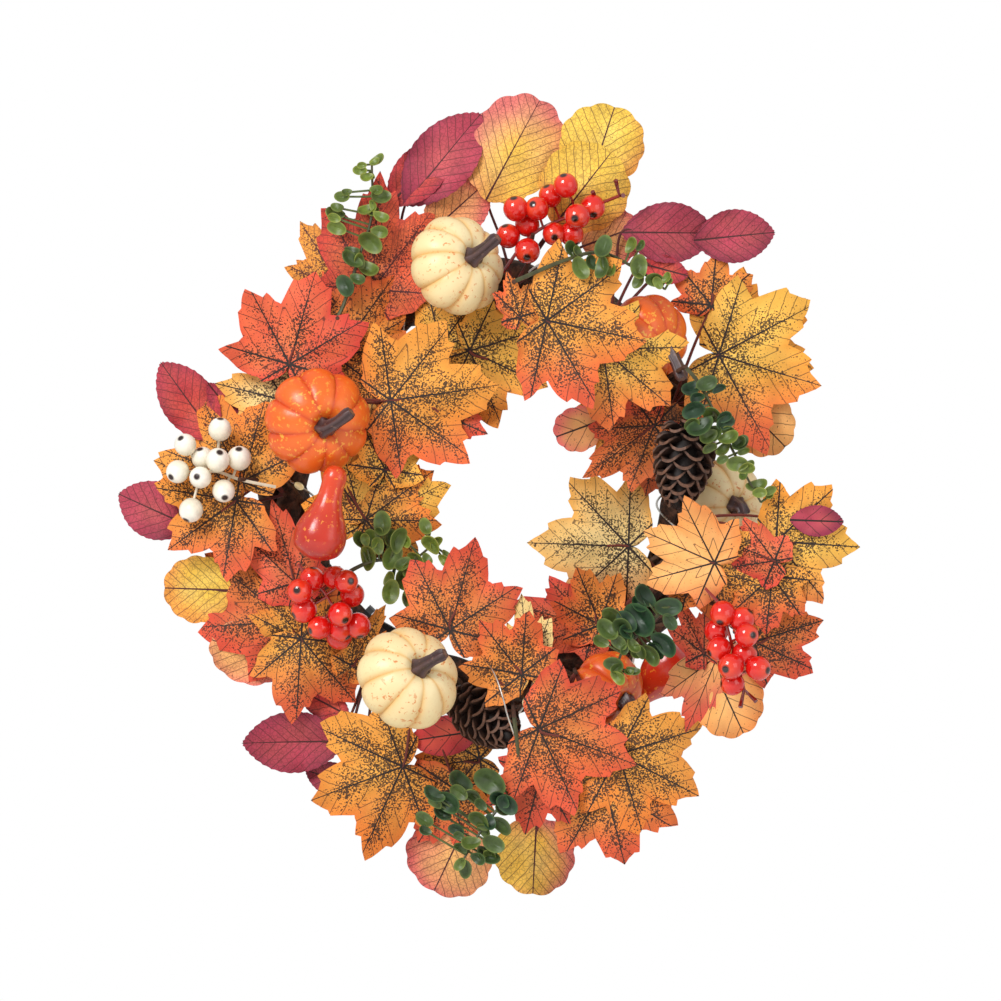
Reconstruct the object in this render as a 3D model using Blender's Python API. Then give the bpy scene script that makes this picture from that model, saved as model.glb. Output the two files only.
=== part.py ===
"""Harvest door wreath: a twisted vine ring dressed with mini pumpkins, gourds, cones, picks and leaves.

Metres, +Z up, front towards -Y, +X to the right. The origin is where a door hook carries the ring: the
underside of its bundle at twelve o'clock, midway between the ring's front and back. Every ornament is laid
on what is already there, from the back of the wreath to the front, so no two pieces ever share space.
Places in the tables are millimetres right of and above the ring's centre, for a ring of TABLE_RING radius.
"""

import math

import bmesh
import bpy
import numpy as np
from mathutils import Matrix, Vector

MM = 0.001

# Vine ring
RING_RADIUS = 0.106
TABLE_RING = 0.106
CANE_COUNT = 3
CANE_RADIUS = 0.0066
CANE_TWISTS = 4
CANE_GAP = 0.0007
CANE_STEPS = 42

# Pieces laid on the ring
CLEARANCE = 0.0006
CELL = 0.0012
SAMPLE = 0.0007
LEAF_SCALE = 1.0
LEAF_THICKNESS = 0.0008
LEAF_STEP = 0.0014
LEAF_DROOP = 0.006
PETIOLE_RADIUS = 0.0008
BERRY_RADIUS = 0.0059
TWIG_RADIUS = 0.0009
SPRIG_RADIUS = 0.0011
PUMPKIN_LOBES = 9
PUMPKIN_SQUASH = 0.70
STEM_RADIUS = 0.0042
SOCKET_DEPTH = 0.004
FIT = 0.0004
GOURD_LENGTH = 0.050
GOURD_RADIUS = 0.0135
CONE_LENGTH = 0.050
CONE_RADIUS = 0.0175

# LED string wound round the ring
WIRE_RADIUS = 0.0006
BEAD_RADIUS = 0.0014
BEAD_SPACING = 0.1
WIRE_TURN_POINTS = 7
WIRE_START_DEG = -93.0
WIRE_TURN_DEG = 31.8
WIRE_TURNS = 9.7

# Battery box behind the ring, along the ring's tangent
BOX_RING_DEG = -119.0
CELL_LENGTH = 0.0505
CELL_DIAMETER = 0.0145
CELL_GAP = 0.0005
BOX_WALL = 0.0018
CONTACT_SPACE = 0.0050
SWITCH_BAY = 0.012
COVER_THICKNESS = 0.0016
GROOVE_DEPTH = 0.0009
LIP = 0.0012
SWITCH_TRAVEL = 0.004
KNOB_LENGTH = 0.004
TIE_WIDTH = 0.004
TIE_THICKNESS = 0.0012
LUG_BAR = 0.0012
LUG_SIDE = 0.0018
LUG_HALF = 0.0025
KNOB_HALF = 0.0015
KNOB_PROUD = 0.001
SHOE_HALF = 0.0032
SHOE_DEPTH = 0.0015
SWITCH_WALL = 0.003
WIRE_HOLE_HALF = 0.0011
PAST = 0.002
RIB_STEP = 0.003
PLATE_THICKNESS = 0.0006
PLATE_HEIGHT = 0.0102

BUNDLE_SPREAD = (CANE_RADIUS + CANE_GAP) * 2 / math.sqrt(3)
BUNDLE_RADIUS = BUNDLE_SPREAD + CANE_RADIUS
RING_Z = BUNDLE_RADIUS - RING_RADIUS
TIE_INNER = BUNDLE_RADIUS + LUG_BAR + 3 * FIT
BOX_FRONT = TIE_INNER + TIE_THICKNESS + 2 * FIT
BAY_LENGTH = CELL_LENGTH + CONTACT_SPACE
BAY_WIDTH = 2 * CELL_DIAMETER + 3 * CELL_GAP
BAY_DEPTH = CELL_DIAMETER + 2 * CELL_GAP
BOX_LENGTH = BAY_LENGTH + 3 * BOX_WALL + SWITCH_BAY
BOX_WIDTH = BAY_WIDTH + 2 * BOX_WALL
BOX_DEPTH = BOX_WALL + BAY_DEPTH + FIT + COVER_THICKNESS + FIT + LIP
DOOR_Y = BOX_FRONT + BOX_DEPTH

COLOURS = {
    "vine": ((0.035, 0.016, 0.009), 0.75, 0.0),
    "orange_leaf": ((0.72, 0.24, 0.03), 0.7, 0.0),
    "red_leaf": ((0.55, 0.05, 0.05), 0.7, 0.0),
    "gold_leaf": ((0.85, 0.42, 0.08), 0.7, 0.0),
    "eucalyptus": ((0.05, 0.12, 0.05), 0.5, 0.0),
    "cream_foam": ((0.88, 0.72, 0.42), 0.45, 0.0),
    "orange_foam": ((0.80, 0.12, 0.01), 0.4, 0.0),
    "stem_foam": ((0.10, 0.05, 0.05), 0.4, 0.0),
    "gourd_foam": ((0.45, 0.02, 0.01), 0.25, 0.0),
    "cone_scale": ((0.06, 0.03, 0.02), 0.7, 0.0),
    "red_berry": ((0.70, 0.01, 0.01), 0.15, 0.0),
    "white_berry": ((0.88, 0.84, 0.74), 0.3, 0.0),
    "silver_wire": ((0.75, 0.72, 0.66), 0.3, 1.0),
    "box_plastic": ((0.03, 0.03, 0.03), 0.5, 0.0),
    "cell_jacket": ((0.10, 0.25, 0.12), 0.35, 0.0),
    "contact_steel": ((0.70, 0.70, 0.68), 0.3, 1.0),
    "tie_nylon": ((0.02, 0.02, 0.02), 0.5, 0.0),
}

# Leaves: kind, right, up, heading in degrees, length, width share. A spray's last leaf is its front one.
SPRAYS = {
    "round_spray_6_oclock": ("gold_leaf", (4, -106), [
        ("round", -12, -178, 245, 38, 1.20),
        ("round", 26, -173, 267, 40, 1.05),
    ]),
    "round_spray_12_oclock": ("gold_leaf", (14, 105), [
        ("round", 50, 126, 20, 31, 1.05),
        ("round", 54, 160, 72, 42, 1.05),
        ("round", 0, 151, 62, 60, 0.80),
        ("round", 36, 138, 52, 47, 1.00),
    ]),
    "leaf_spray_11_oclock": ("red_leaf", (-52, 92), [
        ("oval", -32, 131, 42, 44, 0.70),
        ("oval", -43, 147, 51, 63, 0.54),
        ("oval", -51, 147, 48, 46, 0.56),
        ("maple", -74, 101, 122, 45, 0.62),
        ("maple", -60, 103, 86, 62, 0.66),
    ]),
    "oval_spray_1_oclock": ("red_leaf", (64, 85), [
        ("oval", 108, 129, 6, 43, 0.66),
        ("oval", 70, 133, 0, 50, 0.64),
        ("oval", 80, 117, -15, 26, 0.58),
    ]),
    "maple_spray_2_oclock": ("gold_leaf", (97, 43), [
        ("round", 132, 45, -45, 34, 1.00),
        ("maple", 127, 72, 34, 48, 0.95),
        ("maple", 117, 95, 84, 28, 1.00),
        ("maple", 121, 69, -17, 57, 1.00),
    ]),
    "oval_spray_9_oclock": ("red_leaf", (-106, -4), [
        ("oval", -154, -21, 156, 43, 0.70),
        ("oval", -141, 24, 126, 51, 0.56),
        ("oval", -130, 34, 128, 26, 0.50),
    ]),
    "round_spray_8_oclock": ("gold_leaf", (-95, -47), [
        ("round", -134, -54, 178, 35, 1.00),
        ("round", -105, -94, 160, 42, 0.75),
    ]),
    "oval_spray_7_oclock": ("red_leaf", (-58, -89), [
        ("oval", -66, -158, 162, 31, 0.58),
        ("oval", -72, -120, 152, 30, 0.56),
        ("oval", -74, -133, 181, 54, 0.60),
    ]),
    "maple_spray_8_oclock": ("orange_leaf", (-93, -51), [
        ("maple", -97, -79, 172, 33, 0.80),
        ("maple", -103, -70, 142, 56, 0.90),
        ("maple", -97, -80, 126, 42, 0.50),
        ("maple", -100, -50, 106, 46, 0.60),
        ("maple", -97, -79, -50, 46, 0.95),
        ("maple", -71, -93, 60, 38, 0.40),
    ]),
    "maple_spray_9_oclock": ("orange_leaf", (-107, 6), [
        ("maple", -105, 45, 166, 37, 0.90),
        ("maple", -131, -2, 160, 45, 0.95),
        ("maple", -128, 3, 116, 52, 0.90),
        ("maple", -131, -7, 216, 44, 1.00),
    ]),
    "maple_spray_12_inner": ("gold_leaf", (-14, 104), [
        ("maple", -24, 74, 14, 50, 0.85),
        ("maple", -9, 71, -25, 47, 0.90),
    ]),
    "maple_spray_10_oclock": ("red_leaf", (-89, 58), [
        ("maple", -78, 67, -8, 48, 0.80),
        ("maple", -79, 68, 54, 51, 0.95),
        ("maple", -103, 64, 74, 50, 0.95),
    ]),
    "maple_spray_10_inner": ("orange_leaf", (-97, 42), [
        ("maple", -60, 9, 90, 38, 0.60),
        ("maple", -65, -20, 66, 56, 0.80),
        ("maple", -63, -17, 36, 46, 0.75),
        ("maple", -53, 9, 82, 38, 0.70),
        ("maple", -32, 42, -24, 34, 0.85),
        ("maple", -50, 45, 8, 56, 0.95),
    ]),
    "maple_spray_7_oclock": ("orange_leaf", (-36, -100), [
        ("maple", -4, -142, 190, 38, 0.85),
        ("oval", -3, -127, 189, 38, 0.56),
        ("maple", -17, -158, 236, 36, 0.90),
        ("maple", -44, -146, 200, 52, 1.00),
    ]),
    "maple_spray_4_inner": ("gold_leaf", (94, -49), [
        ("maple", 74, -31, 178, 51, 1.00),
        ("maple", 56, -73, 165, 46, 0.60),
        ("maple", 59, -72, 112, 33, 0.85),
    ]),
    "maple_spray_3_inner": ("orange_leaf", (101, 30), [
        ("round", 60, 35, 200, 26, 0.90),
        ("maple", 85, 37, 174, 41, 0.85),
        ("maple", 90, 35, 260, 42, 0.70),
        ("maple", 87, 32, 216, 45, 0.65),
    ]),
    "maple_spray_6_oclock": ("orange_leaf", (10, -105), [
        ("maple", -19, -74, 75, 48, 0.90),
        ("maple", 22, -95, 96, 40, 0.50),
        ("maple", 18, -97, 128, 36, 0.90),
    ]),
    "maple_spray_5_oclock": ("orange_leaf", (46, -96), [
        ("maple", 28, -147, 256, 35, 0.90),
        ("maple", 61, -154, 284, 45, 0.95),
        ("maple", 68, -138, -28, 47, 1.00),
        ("maple", 27, -125, -20, 51, 1.00),
    ]),
    "maple_spray_4_oclock": ("red_leaf", (92, -53), [
        ("round", 117, -94, -65, 37, 1.00),
        ("maple", 138, -80, 17, 38, 0.90),
        ("maple", 119, -87, 248, 44, 0.60),
        ("maple", 112, -86, 116, 31, 0.50),
    ]),
    "maple_spray_3_oclock": ("orange_leaf", (105, -16), [
        ("oval", 156, -17, -2, 28, 0.58),
        ("maple", 149, -28, -4, 42, 1.05),
        ("maple", 147, -46, 264, 30, 0.90),
        ("maple", 106, -41, -14, 47, 0.75),
        ("maple", 148, -38, 158, 34, 0.60),
        ("maple", 117, -39, 156, 42, 0.80),
    ]),
    "maple_spray_1_oclock": ("orange_leaf", (30, 101), [
        ("maple", 60, 71, -40, 47, 0.90),
        ("maple", 17, 88, 106, 24, 0.60),
        ("maple", 31, 86, -6, 58, 1.00),
    ]),
}

# Pumpkins: material, right, up, radius, tilt of the stem from the front, its direction, its run right and up.
PUMPKINS = {
    "cream_pumpkin_1": ("cream_foam", -16, 115, 26.5, 38, 24, 13, 10),
    "cream_pumpkin_2": ("cream_foam", -41, -99, 27.5, 34, 41, 13, 8),
    "cream_pumpkin_3": ("cream_foam", 122, -9, 24.0, 30, -6, 4, -4),
    "orange_pumpkin_1": ("orange_foam", -88, 34, 28.0, 20, -37, 14, 8),
    "orange_pumpkin_2": ("orange_foam", 82, 76, 25.0, 42, -19, 10, -17),
    "orange_pumpkin_3": ("orange_foam", 61, -108, 23.5, 52, -20, -4, -14),
}
STEM_FORWARD = {"cream_pumpkin_3": 6.0}

# Gourds: the bulb's place and the heading of the neck. Cones: centre, heading of the tip, lift to the front.
GOURDS = {
    "red_gourd_1": (-86, -25, 76),
    "red_gourd_2": (95, -95, 222),
}
CONES = {
    "pine_cone_1": (101, 9, 262, 22),
    "pine_cone_2": (2, -121, -42, 50),
}

# Berry picks: material, the stem's route, then each berry's place and its lift towards the front.
PICKS = {
    "red_berry_pick_1": ("red_berry", [(8, 112), (24, 132), (47, 143), (69, 152)], [
        (41, 157, 7), (33, 152, -2), (26, 145, 6), (15, 145, 6), (47, 141, 8), (44, 132, 0), (35, 132, 2),
        (11, 131, -1), (21, 123, 6), (55, 146, 0), (21, 137, -3), (67, 160, 2), (71, 152, 2), (55, 154, 3),
    ]),
    "red_berry_pick_2": ("red_berry", [(-98, -40), (-92, -48), (-85, -54), (-80, -62)], [
        (-91, -48, 0), (-79, -47, 1), (-73, -49, 9), (-97, -54, 8), (-95, -64, 1), (-76, -66, 9),
        (-87, -73, 2), (-76, -74, 0), (-67, -72, 1), (-77, -78, -7), (-70, -56, 0),
    ]),
    "red_berry_pick_3": ("red_berry", [(112, -52), (120, -62), (126, -82), (132, -104)], [
        (131, -68, 0), (133, -76, 8), (119, -83, 1), (132, -86, -1), (125, -92, 7), (139, -93, 5),
        (126, -101, -1), (118, -74, -6), (121, -65, 1), (130, -113, 1), (138, -110, 2),
    ]),
    "white_berry_pick": ("white_berry", [(-110, 0), (-129, 4), (-140, 8), (-149, 8)], [
        (-139, 30, 3), (-157, 22, 3), (-148, 15, -1), (-140, 14, 8), (-129, 15, 2), (-161, 8, 2),
        (-149, 5, 7), (-137, -2, 4), (-154, -12, 3),
    ]),
}
BARE_TIPS = {(67, 160), (71, 152), (55, 154), (130, -113), (138, -110)}

# Eucalyptus sprigs: the stem's route, then each leaf's place and radius.
SPRIGS = {
    "eucalyptus_sprig_1": ([(-78, 88), (-74, 97), (-66, 122), (-60, 142), (-60, 168)], [
        (-80, 142, 6.0), (-78, 135, 5.5), (-73, 104, 7.0), (-71, 118, 6.5), (-62, 113, 7.0), (-61, 128, 7.5),
        (-75, 151, 4.5), (-55, 140, 5.0), (-63, 144, 5.0), (-56, 151, 6.0), (-66, 165, 4.0), (-63, 161, 4.0),
        (-57, 170, 4.5),
    ]),
    "eucalyptus_sprig_2": ([(14, 106), (40, 117), (59, 121), (78, 112), (92, 102)], [
        (43, 123, 5.5), (48, 113, 6.5), (60, 123, 7.0), (60, 113, 6.5), (75, 125, 5.0), (78, 113, 7.0),
        (86, 107, 5.5), (93, 108, 3.5),
    ]),
    "eucalyptus_sprig_3": ([(102, 62), (110, 52), (120, 32), (130, 12), (141, -8)], [
        (105, 50, 6.5), (113, 53, 6.0), (107, 40, 7.0), (110, 30, 8.0), (116, 38, 6.5), (116, 27, 6.5),
        (122, 33, 5.5), (125, 25, 6.0), (122, 19, 5.0), (130, 22, 5.5), (129, 12, 6.0), (134, 10, 5.0),
        (139, 0, 6.0), (145, -2, 4.0), (141, -8, 3.5),
    ]),
    "eucalyptus_sprig_4": ([(-80, -50), (-68, -42), (-56, -38), (-42, -40), (-28, -30)], [
        (-67, -27, 5.5), (-60, -27, 5.5), (-54, -20, 7.5), (-47, -27, 7.5), (-61, -36, 7.5), (-50, -37, 7.5),
        (-32, -21, 5.0), (-29, -29, 6.5), (-36, -38, 6.0), (-44, -47, 6.5), (-50, -54, 7.0), (-22, -38, 4.0),
        (-42, -58, 5.5), (-37, -64, 5.0),
    ]),
    "eucalyptus_sprig_5": ([(98, -58), (88, -66), (80, -74), (70, -84), (66, -96)], [
        (80, -56, 8.0), (93, -62, 7.5), (80, -69, 11.0), (92, -80, 8.5), (65, -66, 7.5), (62, -74, 7.0),
        (72, -70, 7.0), (75, -82, 5.0), (85, -86, 7.0), (66, -91, 6.0), (68, -80, 5.0), (68, -98, 5.0),
        (75, -95, 4.0),
    ]),
    "eucalyptus_sprig_6": ([(14, -118), (16, -145), (10, -160), (-2, -176), (-12, -192)], [
        (-15, -152, 8.0), (2, -152, 9.5), (-19, -163, 8.0), (-28, -159, 6.5), (-7, -159, 6.0), (-32, -172, 5.5),
        (10, -163, 7.0), (-4, -171, 7.0), (8, -174, 7.0), (-15, -177, 5.0), (3, -184, 6.5), (-9, -184, 6.0),
        (0, -191, 7.0), (-11, -196, 6.0),
    ]),
}

# Everything in front of the ring, from the back of the wreath to its front.
LAYERS = [
    "round_spray_6_oclock", "round_spray_12_oclock", "leaf_spray_11_oclock", "oval_spray_1_oclock",
    "maple_spray_2_oclock", "oval_spray_9_oclock", "round_spray_8_oclock", "oval_spray_7_oclock",
    "maple_spray_8_oclock", "maple_spray_9_oclock", "maple_spray_12_inner", "maple_spray_10_oclock",
    "maple_spray_10_inner", "maple_spray_7_oclock", "red_berry_pick_1", "eucalyptus_sprig_4", "cream_pumpkin_1",
    "orange_pumpkin_1", "red_gourd_1", "red_berry_pick_2", "maple_spray_4_inner", "maple_spray_3_inner",
    "red_gourd_2", "pine_cone_2", "maple_spray_6_oclock", "cream_pumpkin_2", "orange_pumpkin_2",
    "orange_pumpkin_3", "maple_spray_5_oclock", "maple_spray_4_oclock", "cream_pumpkin_3", "pine_cone_1",
    "maple_spray_3_oclock", "maple_spray_1_oclock", "eucalyptus_sprig_1", "eucalyptus_sprig_2",
    "eucalyptus_sprig_3", "eucalyptus_sprig_5", "eucalyptus_sprig_6", "red_berry_pick_3", "white_berry_pick",
]

# Half outlines, as (degrees from the heading, share of the length) for a maple leaf.
MAPLE_HALF = [(20, 0.56), (36, 0.76), (50, 0.92), (76, 0.46), (106, 0.60), (150, 0.28)]
OVAL_HALF = [(0.14, 0.52), (0.36, 0.96), (0.60, 0.96), (0.82, 0.58)]


def clear_scene():
    for obj in list(bpy.data.objects):
        bpy.data.objects.remove(obj, do_unlink=True)


def material(name):
    """One Principled material for each finish in COLOURS, made the first time it is asked for."""
    found = bpy.data.materials.get(name)
    if found:
        return found
    colour, roughness, metallic = COLOURS[name]
    made = bpy.data.materials.new(name)
    made.use_nodes = True
    shader = made.node_tree.nodes["Principled BSDF"]
    shader.inputs["Base Color"].default_value = (*colour, 1.0)
    shader.inputs["Roughness"].default_value = roughness
    shader.inputs["Metallic"].default_value = metallic
    made.diffuse_color = (*colour, 1.0)
    return made


def at(right, up, y=0.0):
    """A table place as a point of the wreath: it moves outwards as the ring grows."""
    grow = RING_RADIUS / TABLE_RING * MM
    return np.array([right * grow, y, RING_Z + up * grow])


def ring_point(degrees, outwards=0.0, y=0.0):
    turn = math.radians(degrees)
    reach = RING_RADIUS + outwards
    return np.array([reach * math.cos(turn), y, RING_Z + reach * math.sin(turn)])


# ---- solids: each is (points, faces), closed, with faces out

def bezier(start, middle, end, steps):
    t = np.linspace(0, 1, steps + 1)[:, None]
    return (1 - t) ** 2 * start + 2 * t * (1 - t) * middle + t**2 * end


def smooth_route(points, steps):
    """A Catmull-Rom curve through the points, with this many steps between each two."""
    points = np.asarray(points, float)
    ends = np.vstack([2 * points[0] - points[1], points, 2 * points[-1] - points[-2]])
    t = np.linspace(0, 1, steps, endpoint=False)[:, None]
    runs = []
    for a, b, c, d in zip(ends, ends[1:], ends[2:], ends[3:]):
        bend, twist = 2 * a - 5 * b + 4 * c - d, 3 * b - a - 3 * c + d
        runs.append(0.5 * (2 * b + (c - a) * t + bend * t**2 + twist * t**3))
    return np.vstack([*runs, points[-1:]])


def tube(path, radii, sides, closed=False):
    """Rings of points square to a path, joined up, with a cap at each end unless the path closes on itself."""
    path = np.asarray(path, float)
    radii = np.broadcast_to(radii, len(path))
    steps = np.roll(path, -1, axis=0) - path
    steps /= np.linalg.norm(steps, axis=1)[:, None]
    ahead = steps + np.roll(steps, 1, axis=0)
    if not closed:
        ahead[0] = steps[0]
        ahead[-1] = steps[-2]
    rings = []
    side = None
    for point, way, radius in zip(path, ahead, radii):
        way = Vector(way).normalized()
        side = (side or way.orthogonal()) - way * (side or way.orthogonal()).dot(way)
        side.normalize()
        other = way.cross(side)
        for k in range(sides):
            turn = math.tau * k / sides
            spoke = math.cos(turn) * np.array(side) + math.sin(turn) * np.array(other)
            rings.append(point + radius * spoke)
    faces = []
    count = len(path)
    for i in range(count if closed else count - 1):
        here = i * sides
        there = (i + 1) % count * sides
        for k in range(sides):
            m = (k + 1) % sides
            faces.append((here + k, here + m, there + m, there + k))
    if not closed:
        faces.append(tuple(reversed(range(sides))))
        faces.append(tuple(range((count - 1) * sides, count * sides)))
    return np.array(rings), faces


def turned(profile, segments, swell=None):
    """A profile of (radius, height) from bottom to top turned about Z; swell(turn, height) scales it."""
    turns = np.arange(segments) * math.tau / segments
    points = [(0.0, 0.0, profile[0][1])]
    for radius, height in profile:
        for turn in turns:
            reach = radius * (swell(turn, radius, height) if swell else 1.0)
            points.append((reach * math.cos(turn), reach * math.sin(turn), height))
    points.append((0.0, 0.0, profile[-1][1]))
    faces = []
    last = len(points) - 1
    for k in range(segments):
        m = (k + 1) % segments
        faces.append((0, 1 + m, 1 + k))
        for row in range(len(profile) - 1):
            low = 1 + row * segments
            high = low + segments
            faces.append((low + k, low + m, high + m, high + k))
        top = 1 + (len(profile) - 1) * segments
        faces.append((top + k, top + m, last))
    return np.array(points), faces


def moved(solid, axis, centre):
    """The solid with its own Z along axis and its origin at centre."""
    points, faces = solid
    turn = np.array(Vector((0, 0, 1)).rotation_difference(Vector(axis)).to_matrix())
    return points @ turn.T + centre, faces


def plate(front, thickness):
    """A thin closed fan about its first point, which lies inside or on the outline made by the others."""
    count = len(front)
    shift = np.array([0, thickness / 2, 0])
    points = np.vstack([front - shift, front + shift])
    ring = list(range(1, count))
    faces = []
    for a, b in zip(ring, ring[1:] + ring[:1]):
        faces.append((0, a, b))
        faces.append((count, count + b, count + a))
        faces.append((a, count + a, count + b, b))
    return points, faces


def leaf_on_stalk(front, thickness, path, radius):
    """A leaf plate and its stalk in one skin: the path starts on the plate's back and opens into it there."""
    sides = 4
    stalk, walls = tube(path, radius, sides)
    count = len(front)
    shift = np.array([0, thickness / 2, 0])
    points = np.vstack([front - shift, front[1:] + shift, stalk])
    start = 2 * count - 1
    faces = [tuple(start + k for k in wall) for wall in walls[:-2] + walls[-1:]]
    rim = list(range(1, count))
    for a, b in zip(rim, rim[1:] + rim[:1]):
        faces.append((0, a, b))
        faces.append((a, a + count - 1, b + count - 1, b))
    outer = [a + count - 1 for a in rim]
    inner = [start + k for k in reversed(range(sides))]
    angle = np.arctan2(points[:, 2] - front[0, 2], points[:, 0] - front[0, 0])
    inner.sort(key=lambda k: (angle[k] - angle[outer[0]]) % math.tau)
    far = [(angle[k] - angle[outer[0]]) % math.tau for k in outer] + [math.tau]
    near = [(angle[k] - angle[outer[0]]) % math.tau for k in inner]
    near.append(near[0] + math.tau)
    i, j = 0, -1
    while i < len(outer) or j < sides - 1:
        here, there = outer[i % len(outer)], inner[j]
        if j == sides - 1 or (i < len(outer) and far[i + 1] <= near[j + 1]):
            faces.append((there, outer[(i + 1) % len(outer)], here))
            i += 1
        else:
            faces.append((there, inner[j + 1], here))
            j += 1
    return points, faces


def ball(centre, radius):
    rows = [(radius * math.sin(a), -radius * math.cos(a)) for a in np.radians((45, 90, 135))]
    points, faces = turned(rows, 6)
    points[0, 2] = -radius
    points[-1, 2] = radius
    return points[:, [0, 2, 1]] + centre, [tuple(reversed(face)) for face in faces]


def block(low, high):
    low, high = np.minimum(low, high), np.maximum(low, high)
    points = [(x, y, z) for x in (low[0], high[0]) for y in (low[1], high[1]) for z in (low[2], high[2])]
    faces = [(0, 1, 3, 2), (4, 6, 7, 5), (0, 4, 5, 1), (2, 3, 7, 6), (0, 2, 6, 4), (1, 5, 7, 3)]
    return np.array(points), faces


# ---- objects

def mesh_object(name, solid, origin=(0, 0, 0)):
    points, faces = solid
    mesh = bpy.data.meshes.new(name)
    mesh.from_pydata((points - np.asarray(origin)).tolist(), [], faces)
    mesh.update()
    obj = bpy.data.objects.new(name, mesh)
    obj.location = origin
    bpy.context.scene.collection.objects.link(obj)
    return obj


def finished(obj, finish, smooth=False):
    obj.data.materials.append(material(finish))
    if smooth:
        obj.data.shade_smooth()
        obj.data.set_sharp_from_angle(angle=math.radians(40))
    return obj


def combined(obj, others, operation):
    """obj's mesh with every other solid joined to it or cut from it, by one exact Boolean."""
    if not others:
        return obj
    helpers = bpy.data.collections.new("helpers")
    bpy.context.scene.collection.children.link(helpers)
    for other in others:
        helper = mesh_object("helper", other)
        bpy.context.scene.collection.objects.unlink(helper)
        helpers.objects.link(helper)
    modifier = obj.modifiers.new("join", "BOOLEAN")
    modifier.operation = operation
    modifier.operand_type = "COLLECTION"
    modifier.collection = helpers
    modifier.solver = "EXACT"
    bpy.context.view_layer.update()
    result = bpy.data.meshes.new_from_object(obj.evaluated_get(bpy.context.evaluated_depsgraph_get()))
    obj.modifiers.clear()
    obj.data = result
    for helper in list(helpers.objects):
        bpy.data.objects.remove(helper, do_unlink=True)
    bpy.data.collections.remove(helpers)
    return obj


def without_specks(obj):
    """Only the largest skin: where stalks cross, a Boolean can leave a speck that hangs on by an edge."""
    mesh = bmesh.new()
    mesh.from_mesh(obj.data)
    bmesh.ops.triangulate(mesh, faces=mesh.faces)
    skins = []
    left = set(mesh.faces)
    while left:
        skin, rim = [], [left.pop()]
        while rim:
            face = rim.pop()
            skin.append(face)
            shared = [edge for edge in face.edges if len(edge.link_faces) == 2]
            near = {other for edge in shared for other in edge.link_faces} & left
            left -= near
            rim += near
        skins.append(skin)
    skins.sort(key=len)
    bmesh.ops.delete(mesh, geom=[face for skin in skins[:-1] for face in skin], context="FACES")
    mesh.to_mesh(obj.data)
    mesh.free()


def joined(name, solids, finish, origin=(0, 0, 0)):
    """One closed body from solids that overlap."""
    obj = mesh_object(name, solids[0])
    combined(obj, solids[1:], "UNION")
    without_specks(obj)
    obj.data.transform(Matrix.Translation(-Vector(origin)))
    obj.location = origin
    return finished(obj, finish)


# ---- laying pieces on what is already there

def samples(solid):
    """Points spread over every face of a solid, no further apart than SAMPLE."""
    points, faces = solid
    found = []
    for face in faces:
        for b, c in zip(face[1:], face[2:]):
            corner, one, two = points[face[0]], points[b], points[c]
            size = max(np.linalg.norm(side) for side in (one - corner, two - corner, two - one))
            count = int(size / SAMPLE) + 2
            u, v = np.meshgrid(np.linspace(0, 1, count), np.linspace(0, 1, count))
            inside = u + v <= 1 + 1e-9
            found.append(corner + u[inside][:, None] * (one - corner) + v[inside][:, None] * (two - corner))
    return np.vstack(found)


def spread_over(grid, pick):
    """Each cell given the pick (np.minimum or np.maximum) of itself and its eight neighbours."""
    padded = np.pad(grid, 1, mode="edge")
    wide = pick(pick(padded[:-2], padded[1:-1]), padded[2:])
    return pick(pick(wide[:, :-2], wide[:, 1:-1]), wide[:, 2:])


class Pile:
    """How far forward the wreath already reaches, in cells over X and Z; -Y is forward."""

    def __init__(self, half_width, back):
        self.count = int(2 * half_width / CELL)
        self.half_width = half_width
        self.front = np.full((self.count, self.count), back)

    def cells(self, points):
        column = ((points[:, 0] + self.half_width) / CELL).astype(int)
        row = ((points[:, 2] - RING_Z + self.half_width) / CELL).astype(int)
        return column, row

    def add(self, solids):
        points = np.vstack([samples(solid) for solid in solids])
        np.minimum.at(self.front, self.cells(points), points[:, 1])

    def lay(self, solids):
        """The solids moved as one along Y until they rest on the pile, which then holds them too."""
        points = np.vstack([samples(solid) for solid in solids])
        back = np.full_like(self.front, -np.inf)
        np.maximum.at(back, self.cells(points), points[:, 1])
        back = spread_over(back, np.maximum)
        room = spread_over(self.front, np.minimum) - back
        shift = np.array([0, room.min() - CLEARANCE, 0])
        placed = [(solid[0] + shift, solid[1]) for solid in solids]
        self.add(placed)
        return placed


# ---- the ring

def cane_path(index):
    """One cane: a helix about the ring's circle that closes on itself after CANE_TWISTS turns."""
    around = np.arange(CANE_STEPS) * math.tau / CANE_STEPS
    twist = CANE_TWISTS * around + index * math.tau / CANE_COUNT
    reach = RING_RADIUS + BUNDLE_SPREAD * np.cos(twist)
    x, z = reach * np.cos(around), reach * np.sin(around)
    return np.stack([x, BUNDLE_SPREAD * np.sin(twist), RING_Z + z], axis=1)


def make_ring(pile):
    for index in range(CANE_COUNT):
        cane = tube(cane_path(index), CANE_RADIUS, 5, closed=True)
        pile.add([cane])
        obj = mesh_object(f"vine_cane_{index + 1}", cane, (0, 0, RING_Z))
        finished(obj, "vine", smooth=True)


def wire_point(turns):
    """The LED wire after this many turns round the bundle: it starts and ends at the back of the ring."""
    degrees = WIRE_START_DEG + WIRE_TURN_DEG * turns
    sagitta = 1 / math.cos(math.pi / WIRE_TURN_POINTS)
    reach = (BUNDLE_RADIUS + WIRE_RADIUS + FIT) * sagitta
    return ring_point(degrees, reach * math.sin(math.tau * turns), reach * math.cos(math.tau * turns))


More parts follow.
